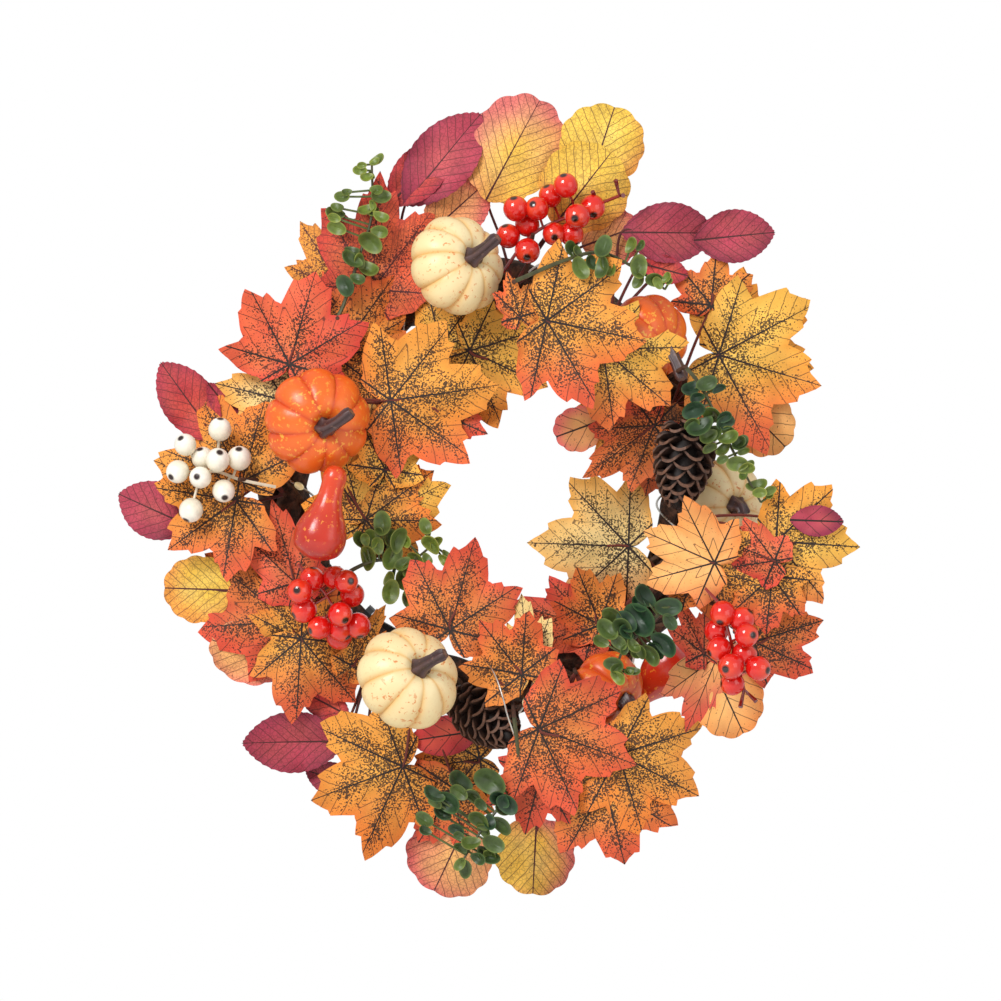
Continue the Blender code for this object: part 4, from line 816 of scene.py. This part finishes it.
def cone_scale(length, width):
    """A scale along X: a 7 by 7 sheet, cupped across and turned up at its lip, with a back and an edge."""
    s, t = np.meshgrid(np.linspace(-1, 1, 7), np.linspace(0, 1, 7))
    rounded = np.sqrt(np.clip(1 - (t * 0.93) ** 6, 0, 1))
    half = width / 2 * (0.35 + 0.65 * np.sin(np.clip(t, 0, 1) * math.pi * 0.62)) * rounded
    x = length * t
    y = s * half
    z = 0.10 * length * t**2 - 0.55 * np.abs(y) ** 2 / (width / 2) + 0.12 * length * np.clip(t - 0.75, 0, 1) * 2
    top = np.stack([x, y, z], -1).reshape(-1, 3)
    thick = (0.0005 + 0.0011 * t.reshape(-1) ** 4)[:, None] * (0, 0, 1)
    i, k = (a.ravel() for a in np.meshgrid(np.arange(6), np.arange(6), indexing="ij"))
    a = i * 7 + k
    sheet = np.concatenate([np.stack([a, a + 7, a + 8], -1), np.stack([a, a + 8, a + 1], -1)])
    loop = np.concatenate([np.arange(6), np.arange(6, 48, 7), np.arange(48, 42, -1), np.arange(42, 0, -7)])
    after = np.roll(loop, -1)
    size = len(top)
    rim = np.concatenate([np.stack([loop, loop + size, after + size], -1), np.stack([loop, after + size, after], -1)])
    tris = np.concatenate([sheet[:, ::-1], sheet + size, rim[:, ::-1]])
    return np.vstack([top, top - thick]), tris, np.tile(t.reshape(-1), 2)


def put_cone(node):
    """Core and seventy scales, longest at the widest part, opening more towards the base."""
    right, up, heading, lift = CONES[node]
    heading, lift = math.radians(heading), math.radians(lift)
    axis = np.array([math.cos(lift) * math.cos(heading), -math.sin(lift), math.cos(lift) * math.sin(heading)])
    centre = place(right, up, middle_of(node))
    skin = Skin()
    core = [
        (0.0008, -0.0225), (0.006, -0.021), (0.0095, -0.012), (0.009, 0.0), (0.006, 0.012), (0.0035, 0.019),
        (0.0006, 0.022),
    ]
    raw, tris = turned(smooth_curve(core, 3), 16)
    skin.put(turn_to(raw, axis, centre), tris, linear("#1E110C"))
    dark, lip = linear("#2C1A14"), linear("#6A4836")
    for index in range(CONE_SCALES):
        t = index / CONE_SCALES
        reach = 0.0172 * math.sin(math.pi * min(1.0, 0.10 + 0.88 * t) ** 0.82) ** 0.62 * (1 - 0.22 * t)
        opening = 0.55 - 0.95 * t
        length = max(reach * 0.92 / math.cos(opening), 0.004)
        width = 0.0030 + 0.0100 * math.sin(math.pi * min(1.0, 0.12 + 0.80 * t)) ** 0.8
        piece, tris, share = cone_scale(length, width)
        lean, spin = -opening * 0.9 + 0.35, index * GOLDEN_ANGLE
        x = piece[:, 0] * math.cos(lean) - piece[:, 2] * math.sin(lean)
        z = piece[:, 0] * math.sin(lean) + piece[:, 2] * math.cos(lean) + 0.042 * (t - 0.52)
        x = x + 0.0012
        side = piece[:, 1]
        right_of = x * math.cos(spin) - side * math.sin(spin)
        around = np.stack([right_of, x * math.sin(spin) + side * math.cos(spin), z], -1)
        tone = dark + (lip - dark) * (np.clip(share - 0.72, 0, 1) / 0.28)[:, None] ** 1.5
        skin.put(turn_to(around, axis, centre), tris, tone)
    skin.piece("scaled_" + node, scale_wood, "cone_scale", [node])


for node in CONES:
    put_cone(node)
print(len(CONES), "cones of", CONE_SCALES, "scales")

# %% [markdown]
# ## Berries
# Moulded plastic berries sit on wire twigs. Each is a ball with a dark dot at its free end. The red ones are glossy
# and have a painted orange highlight towards the dot, which faces partly to the front; the ivory ones are satin,
# with a paler painted highlight there.

# %% Berry finishes
berry_gloss, tree, shader = finish("gloss moulded plastic, red", Roughness=0.12, Coat_Weight=0.6, Coat_Roughness=0.05)
tone = tone_of(tree)
join(tone, shader, "Base Color")
shader.inputs["Subsurface Weight"].default_value = 0.08
shader.inputs["Subsurface Radius"].default_value = (0.004, 0.0015, 0.0008)
shader.inputs["Subsurface Scale"].default_value = 1.0
# Satin and slightly uneven, so that it reads as moulded and not as paint.
ivory = mottled("satin moulded plastic, ivory", None, (300.0, 2.0), (0.3, 0.7, 0.88, 1.06), Roughness=0.38)

PICKS = {
    "red_berry_pick_1": ("red_berry", [(8, 112), (24, 132), (47, 143), (69, 152)], [
        (41, 157, 7), (33, 152, -2), (26, 145, 6), (15, 145, 6), (47, 141, 8), (44, 132, 0), (35, 132, 2),
        (11, 131, -1), (21, 123, 6), (55, 146, 0), (21, 137, -3), (67, 160, 2), (71, 152, 2), (55, 154, 3),
    ]),
    "red_berry_pick_2": ("red_berry", [(-98, -40), (-92, -48), (-85, -54), (-80, -62)], [
        (-91, -48, 0), (-79, -47, 1), (-73, -49, 9), (-97, -54, 8), (-95, -64, 1), (-76, -66, 9),
        (-87, -73, 2), (-76, -74, 0), (-67, -72, 1), (-77, -78, -7), (-70, -56, 0),
    ]),
    "red_berry_pick_3": ("red_berry", [(112, -52), (120, -62), (126, -82), (132, -104)], [
        (131, -68, 0), (133, -76, 8), (119, -83, 1), (132, -86, -1), (125, -92, 7), (139, -93, 5),
        (126, -101, -1), (118, -74, -6), (121, -65, 1), (130, -113, 1), (138, -110, 2),
    ]),
    "white_berry_pick": ("white_berry", [(-110, 0), (-129, 4), (-140, 8), (-149, 8)], [
        (-139, 30, 3), (-157, 22, 3), (-148, 15, -1), (-140, 14, 8), (-129, 15, 2), (-161, 8, 2),
        (-149, 5, 7), (-137, -2, 4), (-154, -12, 3),
    ]),
}
BARE_TIPS = {(67, 160), (71, 152), (55, 154), (130, -113), (138, -110)}


# %% Berry picks
def nearest_on(route, point):
    """The route's point nearest to this one, seen from the front."""
    return route[np.linalg.norm((route - point)[:, [0, 2]], axis=1).argmin()]


def put_pick(node):
    """A stem, and on each twig a ball: its pole points away from the twig and partly to the front."""
    slot, stem, berries = PICKS[node]
    depth = front_of(node) - min(-lift * MM - BERRY_RADIUS for x, z, lift in berries if (x, z) not in BARE_TIPS)
    red = slot == "red_berry"
    route = smooth_curve([place(right, up, depth) for right, up in stem], 8)
    skin = Skin()
    twig = linear("#8E1F16" if red else "#D9CDB4")
    points, tris = tube(route, 0.0009, 6)
    skin.put(points, tris, twig)
    for index, (right, up, lift) in enumerate(berries):
        centre = place(right, up, depth - lift * MM)
        root = nearest_on(route, centre)
        bow = (root + centre) / 2 + (0, 0.0015, 0)
        bare = (right, up) in BARE_TIPS
        path = smooth_curve([root, bow, centre], 5)
        points, tris = tube(path, np.linspace(0.0007, 0.0013 if bare else 0.0008, len(path)), 6)
        skin.put(points, tris, twig * (0.6 if bare else 1.0))
        if bare:
            continue
        out = centre - root
        out = out / (np.linalg.norm(out) + 1e-9) + (0.6 * math.sin(3 * index), -0.55, 0.6 * math.cos(2 * index))
        rows = np.append(np.linspace(0.02, 2.75, 12), (2.92, 2.99, 3.12))
        size = BERRY_RADIUS * ((1.10 if red else 1.03) + 0.05 * math.sin(5 * index))
        raw, tris = turned(np.stack([np.sin(rows), -1.03 * np.cos(rows)], -1) * size, 20)
        t = (raw[:, 2] / size)[:, None]
        # Painted highlight: towards the dot, which faces partly to the front, red goes orange and ivory goes paler.
        if red:
            tone = linear("#DC1812") + (linear("#F2502A") - linear("#DC1812")) * np.clip(t * 0.9, 0, 1) ** 3
        else:
            tone = linear("#EFE6D0") + (linear("#FBF6EA") - linear("#EFE6D0")) * np.clip(t, 0, 1)
        tone = np.where(t > (0.995 if red else 0.985), linear("#2A1410"), tone)
        skin.put(turn_to(raw, out, centre), tris, tone)
    skin.piece("moulded_" + node, berry_gloss if red else ivory, slot, [node])


for node in PICKS:
    put_pick(node)
print("four picks of berries")

# %% [markdown]
# ## Eucalyptus
# The sprigs are soft plastic: round leaves in pairs on a stem, dark and bluish near the foot, lime at the tips,
# with a paler edge. Each leaf is a small cupped shell that faces its own way.

# %% Eucalyptus finish and tables
# Soft plastic with a waxy bloom, cloudy from leaf to leaf.
leaf_plastic = mottled(
    "soft moulded plastic, green", None, (220.0, 2.0), (0.3, 0.7, 0.7, 1.25), (0.2, 0.0004),
    Roughness=0.42, Sheen_Weight=0.05,
)

# Stem route, leaves as (right, up, radius), and how young each end is: 0 dark, 1 lime.
SPRIGS = {
    "eucalyptus_sprig_1": ([(-78, 88), (-74, 97), (-66, 122), (-60, 142), (-60, 168)], [
        (-80, 142, 6.0), (-78, 135, 5.5), (-73, 104, 7.0), (-71, 118, 6.5), (-62, 113, 7.0), (-61, 128, 7.5),
        (-75, 151, 4.5), (-55, 140, 5.0), (-63, 144, 5.0), (-56, 151, 6.0), (-66, 165, 4.0), (-63, 161, 4.0),
        (-57, 170, 4.5),
    ], (0.1, 0.9)),
    "eucalyptus_sprig_2": ([(14, 106), (40, 117), (59, 121), (78, 112), (92, 102)], [
        (43, 123, 5.5), (48, 113, 6.5), (60, 123, 7.0), (60, 113, 6.5), (75, 125, 5.0), (78, 113, 7.0),
        (86, 107, 5.5), (93, 108, 3.5),
    ], (0.0, 0.7)),
    "eucalyptus_sprig_3": ([(102, 62), (110, 52), (120, 32), (130, 12), (141, -8)], [
        (105, 50, 6.5), (113, 53, 6.0), (107, 40, 7.0), (110, 30, 8.0), (116, 38, 6.5), (116, 27, 6.5),
        (122, 33, 5.5), (125, 25, 6.0), (122, 19, 5.0), (130, 22, 5.5), (129, 12, 6.0), (134, 10, 5.0),
        (139, 0, 6.0), (145, -2, 4.0), (141, -8, 3.5),
    ], (-0.2, 0.9)),
    "eucalyptus_sprig_4": ([(-80, -50), (-68, -42), (-56, -38), (-42, -40), (-28, -30)], [
        (-67, -27, 5.5), (-60, -27, 5.5), (-54, -20, 7.5), (-47, -27, 7.5), (-61, -36, 7.5), (-50, -37, 7.5),
        (-32, -21, 5.0), (-29, -29, 6.5), (-36, -38, 6.0), (-44, -47, 6.5), (-50, -54, 7.0), (-22, -38, 4.0),
        (-42, -58, 5.5), (-37, -64, 5.0),
    ], (0.2, 0.9)),
    "eucalyptus_sprig_5": ([(98, -58), (88, -66), (80, -74), (70, -84), (66, -96)], [
        (80, -56, 8.0), (93, -62, 7.5), (80, -69, 11.0), (92, -80, 8.5), (65, -66, 7.5), (62, -74, 7.0),
        (72, -70, 7.0), (75, -82, 5.0), (85, -86, 7.0), (66, -91, 6.0), (68, -80, 5.0), (68, -98, 5.0),
        (75, -95, 4.0),
    ], (-0.3, 0.6)),
    "eucalyptus_sprig_6": ([(14, -118), (16, -145), (10, -160), (-2, -176), (-12, -192)], [
        (-15, -152, 8.0), (2, -152, 9.5), (-19, -163, 8.0), (-28, -159, 6.5), (-7, -159, 6.0), (-32, -172, 5.5),
        (10, -163, 7.0), (-4, -171, 7.0), (8, -174, 7.0), (-15, -177, 5.0), (3, -184, 6.5), (-9, -184, 6.0),
        (0, -191, 7.0), (-11, -196, 6.0),
    ], (-0.4, 0.4)),
}


# %% Sprigs
def paired(leaves, stem):
    """The leaves, and for each a smaller one a little nearer the stem's tip, so that they stand in pairs."""
    tip = np.array(stem[-1], float)
    pairs = list(leaves)
    for index, (right, up, radius) in enumerate(leaves):
        way = tip - (right, up)
        way = way / (np.linalg.norm(way) + 4.0)
        bend = 0.9 * math.sin(2.1 * index)
        right += radius * (0.75 * way[0] - bend * way[1])
        up += radius * (0.75 * way[1] + bend * way[0])
        pairs.append((right, up, radius * 0.68))
    return pairs


def put_sprig(node):
    """A tapering stem; each leaf is a disc, drawn out to its neck, cupped, and turned about its own two axes."""
    stem, leaves, (young_foot, young_tip) = SPRIGS[node]
    depth = front_of(node) + 3 * LEAF_STEP + LEAF_PLATE / 2
    route = smooth_curve([place(right, up, depth) for right, up in stem], 8)
    skin = Skin()
    skin.put(*tube(route, np.linspace(0.0012, 0.0006, len(route)), 6), linear("#4A4A2A"))
    turn = np.arange(28) * math.tau / 28
    disc = np.stack([np.cos(turn), (0.68 + 0.06 * np.cos(turn)) * np.sin(turn)], -1)
    flat, share, tris = spread(disc, np.array([0.25, 0.5, 0.75, 0.9, 1.0]))
    for index, (right, up, radius) in enumerate(paired(leaves, stem)):
        centre = place(right, up, depth - LEAF_STEP * (index % 4))
        size = radius * MM * 0.96
        root = nearest_on(route, centre)
        out = (centre - root) * (1, 0, 1)
        out /= np.linalg.norm(out)
        across = np.array([-out[2], 0, out[0]])
        lean, nod = 0.75 * math.sin(2.4 * index + 1), 0.45 * math.cos(1.7 * index)
        across = across * math.cos(lean) - np.array([0, 1, 0]) * math.sin(lean)
        along = out * math.cos(nod) - np.array([0, 1, 0]) * math.sin(nod)
        facing = np.cross(across, along)
        cup = 0.45 * (flat**2).sum(axis=1) - 0.12 * np.exp(-((flat[:, 1] / 0.12) ** 2)) * (1 - share)
        front = centre + size * (flat[:, :1] * along + flat[:, 1:] * across - cup[:, None] * facing)
        thick, faces = shell(front, tris, len(disc), 0.0006 * facing)
        run = np.linalg.norm(root - route[0]) / np.linalg.norm(route[-1] - route[0])
        young = np.clip(young_foot + (young_tip - young_foot) * run + 0.25 * math.sin(1.9 * index), 0, 1)
        body = linear("#1B3820") * (1 - young) + linear("#70822C") * young
        edge = linear("#426438") * (1 - young) + linear("#A8AC4C") * young
        blend = np.clip(share - 0.82, 0, 1)[:, None] / 0.18
        tone = body + (edge - body) * blend * 0.9
        # Painted shade: the back copy of each leaf is 15% darker than its front.
        skin.put(thick, faces, np.vstack([tone, tone * 0.85]))
        neck, neck_tris = tube(smooth_curve([root, (root + centre) / 2, centre - along * size * 0.8], 3), 0.0006, 5)
        skin.put(neck, neck_tris, linear("#55602E"))
    skin.piece("soft_" + node, leaf_plastic, "eucalyptus", [node])


for node in SPRIGS:
    put_sprig(node)
print(len(SPRIGS), "sprigs")

# %% [markdown]
# ## Vine ring
# Three thick canes twist round each other, with thinner runners wound over them. The ridges along a
# cane are in its shape, whose radius wanders; the bump is a lumpy noise that gives the bark its flakes.

# %% Bark
# Dry bark: dark hollows between pale flakes.
bark = mottled(
    "dry vine bark", None, (260.0, 4.0, 0.7), (0.42, 0.66, 0.35, 1.9), (0.7, 0.0012), Roughness=0.8
)


def ring_path(spread_out, twists, start, count, wander=0.0, seed=0.0):
    """A helix about the ring's circle: twists turns of radius spread_out, which wanders by up to wander."""
    around = np.arange(count) * math.tau / count
    reach = spread_out + wander * np.sin(7 * around + seed) * np.sin(3 * around + 2 * seed)
    twist = twists * around + start
    out = RING_RADIUS + reach * np.cos(twist)
    return np.stack([out * np.cos(around), reach * np.sin(twist), RING_Z + out * np.sin(around)], -1), around


def put_cane(name, path, around, radius, seed, colour, nodes=()):
    knots = 1 + 0.06 * np.sin(11 * around + seed) + 0.05 * np.sin(23 * around + 2 * seed)
    grooves = lambda turn: 1 + 0.06 * np.cos(5 * turn + seed) + 0.04 * np.cos(9 * turn + 2 * seed)
    points, tris = tube(path, radius * knots, 22, closed=True, ridges=grooves)
    skin = Skin()
    skin.put(points, tris, linear(colour))
    skin.piece(name, bark, "vine", nodes)


for index in range(3):
    path, around = ring_path(CANE_SPREAD, 4, index * math.tau / 3, 240)
    put_cane(f"bark_cane_{index + 1}", path, around, CANE_RADIUS, index, "#4E3324", [f"vine_cane_{index + 1}"])
for index, (reach, twists, radius) in enumerate([(13.2, 6, 1.7), (13.6, -5, 1.4), (12.8, 9, 1.5), (13.9, 7, 1.1)]):
    path, around = ring_path(reach * MM, twists, 1.3 * index, 360, 0.0008, index)
    put_cane(f"runner_{index + 1}", path, around, radius * MM, 3 * index, "#5A3D2A")
print("ring of three canes and four runners")

# %% [markdown]
# ## Florist's stakes
# On the real wreath every ornament is wired to the ring. A stake of paper-wrapped wire runs from the back of each
# one, bends, and ends among the canes, which is what carries the ornaments that stand well forward.

# %% Stakes
STAKE_BROWN = "#4A2E20"
# Matt brown paper, uneven where it overlaps itself.
paper_wire = mottled("paper-wrapped florist's wire", STAKE_BROWN, (700.0, 2.0), (0.3, 0.7, 0.7, 1.3), Roughness=0.85)


def stake(skin, node, right, up):
    """A curve from an ornament's middle back to the nearest point of the ring, which it enters square on."""
    start = place(right, up, middle_of(node))
    around = math.atan2(up, right)
    foot = np.array([RING_RADIUS * math.cos(around), -0.006, RING_Z + RING_RADIUS * math.sin(around)])
    bend = foot + (start - foot) * (0.15, 0.35, 0.15)
    skin.put(*tube(smooth_curve([start, (start + bend) / 2, bend, foot], 6), 0.0011, 8), linear(STAKE_BROWN))


skin = Skin()
for node, (slot, hub, leaves) in SPRAYS.items():
    stake(skin, node, *hub)
for node, (kind, right, up, *rest) in PUMPKINS.items():
    stake(skin, node, right, up)
for node, (right, up, *rest) in [*GOURDS.items(), *CONES.items()]:
    stake(skin, node, right, up)
for node, (slot, stem, berries) in PICKS.items():
    stake(skin, node, *stem[1])
for node, (stem, leaves, young) in SPRIGS.items():
    stake(skin, node, *stem[0])
skin.piece("florist_stakes", paper_wire, "vine")
print("stakes made")

# %% [markdown]
# ## Light string
# A bare silver wire pair winds round the ring, with clear resin beads along it. It is fixed to the ring all the
# way, on the CAD model's route. One slack run in front, held at both ends, is in the look only.

# %% Wire and beads
SILVER = "#D8D4CC"
RESIN = "#FFF6DC"
LEAD_IN = [(-0.02143, 0.02848, -0.20029), (-0.01846, 0.02848, -0.20193), (-0.0118, 0.0236, -0.1992)]
silver, tree, shader = finish("bare silvered copper wire", Metallic=1.0, Roughness=0.28)
shader.inputs["Base Color"].default_value = rgba(SILVER)
twist = noise(tree, 900.0, 1.0)
emboss(shader, twist, 0.3, 0.0002)
join(ramp(tree, twist, 0.3, 0.7, 0.2, 0.4), shader, "Roughness")

WIRE_RADIUS = 0.0006
turns = np.linspace(0, 9.65, 9 * 36)
degrees = np.radians(-93.0 + 31.8 * turns)
reach = BUNDLE_RADIUS + WIRE_RADIUS + 0.0009
out = RING_RADIUS + reach * np.sin(math.tau * turns)
winding = np.stack([out * np.cos(degrees), reach * np.cos(math.tau * turns), RING_Z + out * np.sin(degrees)], -1)
lead_in = smooth_curve([*LEAD_IN, winding[0]], 6)
skin = Skin()
skin.put(*tube(np.vstack([lead_in[:-1], winding]), WIRE_RADIUS, 6), linear(SILVER))
skin.piece("silver_winding", silver, "silver_wire", ["led_wire"])
slack = [place(-2, -88, -0.056), place(4, -97, -0.068), place(8, -108, -0.0745), place(11, -119, -0.0755),
         place(15, -131, -0.072), place(19, -144, -0.062)]
skin = Skin()
skin.put(*tube(smooth_curve(slack, 8), WIRE_RADIUS * 0.8, 6), linear(SILVER))
skin.piece("silver_slack", silver, "silver_wire")
length = np.linalg.norm(np.diff(winding, axis=0), axis=1).sum()
print("wire wound round the ring:", round(length, 2), "m")

resin, tree, shader = finish("clear resin bead", Roughness=0.08, IOR=1.5)
shader.inputs["Base Color"].default_value = rgba(RESIN)
shader.inputs["Transmission Weight"].default_value = 0.6
shader.inputs["Emission Color"].default_value = rgba("#FFE6A8")
shader.inputs["Emission Strength"].default_value = 0.25
skin = Skin()
rows = np.linspace(0.03, math.pi - 0.03, 9)
spots = np.linspace(14, len(winding) - 6, 11).astype(int)
for spot in spots:
    raw, tris = turned(np.stack([0.0019 * np.sin(rows), -0.0030 * np.cos(rows)], -1), 12)
    skin.put(turn_to(raw, winding[spot + 1] - winding[spot - 1], winding[spot]), tris, linear(RESIN))
skin.piece("resin_beads", resin, "silver_wire")
print(len(spots), "beads")

# %% [markdown]
# ## Battery box
# The CAD solids of the box, its sliding cover, switch, cells, contacts and ties are right as they are: moulded and
# stamped parts. They keep their meshes and get their own finishes.

# %% Moulded and stamped finishes
# Black plastic with the fine grain of its mould, which softens every highlight.
abs_black = mottled("moulded ABS, black", "#1E1E20", (1500.0, 2.0), (0.3, 0.7, 0.8, 1.3), (0.3, 0.0002), Roughness=0.5)
# A printed sleeve without any print: smooth, with a thin clear coat and faint scuffs.
jacket = mottled("plain cell jacket", "#5E7D4E", (300.0, 3.0), (0.3, 0.7, 0.85, 1.15), Roughness=0.3, Coat_Weight=0.3)
# Bright plated steel, smeared by handling.
nickel, tree, shader = finish("nickel-plated spring steel", Metallic=1.0)
shader.inputs["Base Color"].default_value = rgba("#C9C6BE")
join(ramp(tree, noise(tree, 800.0, 2.0), 0.3, 0.7, 0.2, 0.42), shader, "Roughness")
# Black nylon, a little glossier than the box it holds.
nylon = mottled("nylon, black", "#17171A", (700.0, 1.0), (0.3, 0.7, 0.8, 1.3), Roughness=0.45)

for node, material in {
    "battery_box": abs_black, "battery_cover": abs_black, "switch_slider": abs_black, "battery_cell_1": jacket,
    "battery_cell_2": jacket, "spring_contact": nickel, "lead_contact": nickel, "box_tie_1": nylon, "box_tie_2": nylon,
}.items():
    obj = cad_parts[node]
    obj.data.materials.clear()
    obj.data.materials.append(material)
print("CAD nodes kept, with finishes")

# %% [markdown]
# ## Studio
# A pale floor, a pale world and two soft lights. The camera looks straight at the wreath through a long lens, so
# that ornaments near it and far from it keep their true sizes.

# %% Floor, light and camera
FLOOR_HALF, FLOOR_Z = 1.2, -0.46
floor_paper = mottled("pale paper floor", "#F4F2EE", (40.0, 3.0), (0.3, 0.7, 0.97, 1.0), Roughness=0.9)
floor_mesh = bpy.data.meshes.new("floor")
corners = [(-1, -1), (1, -1), (1, 1), (-1, 1)]
floor_mesh.from_pydata([(x * FLOOR_HALF, y * FLOOR_HALF, FLOOR_Z) for x, y in corners], [], [(0, 1, 2, 3)])
floor_mesh.materials.append(floor_paper)
floor = bpy.data.objects.new("floor", floor_mesh)
bpy.context.scene.collection.objects.link(floor)

world = bpy.data.worlds.new("pale studio")
bpy.context.scene.world = world
world.use_nodes = True
sky = world.node_tree.nodes["Background"]
sky.inputs["Color"].default_value = (1.0, 1.0, 1.0, 1.0)
seen = add(world.node_tree, "LightPath").outputs["Is Camera Ray"]
dim = add(world.node_tree, "MapRange", {0: seen, 1: 0.0, 2: 1.0, 3: 0.62, 4: 1.0})
join(dim, sky, "Strength")
bpy.context.scene.view_settings.view_transform = "Standard"


def soft_light(name, position, target, size, power):
    light = bpy.data.lights.new(name, "AREA")
    light.size = size
    light.energy = power
    obj = bpy.data.objects.new(name, light)
    obj.location = position
    way = np.array(target) - position
    yaw = math.atan2(way[1], way[0]) - math.pi / 2
    obj.rotation_euler = (math.acos(-way[2] / np.linalg.norm(way)), 0.0, yaw)
    bpy.context.scene.collection.objects.link(obj)


CENTRE = np.array([0.007, -0.045, RING_Z - 0.007])
soft_light("key", (-0.9, -1.5, 1.0), CENTRE, 0.8, 27.0)
soft_light("fill", (1.3, -1.4, 0.2), CENTRE, 1.2, 5.0)

DISTANCE = 4.0
VIEW_WIDTH = 0.5205
camera = bpy.data.cameras.new("camera")
camera.sensor_width = 36.0
camera.lens = camera.sensor_width * DISTANCE / VIEW_WIDTH
camera.clip_end = 20.0
camera_object = bpy.data.objects.new("camera", camera)
camera_object.location = CENTRE - (0, DISTANCE, 0)
camera_object.rotation_euler = (math.pi / 2, 0.0, 0.0)
bpy.context.scene.collection.objects.link(camera_object)
bpy.context.scene.camera = camera_object
print("lens", round(camera.lens, 1), "mm")
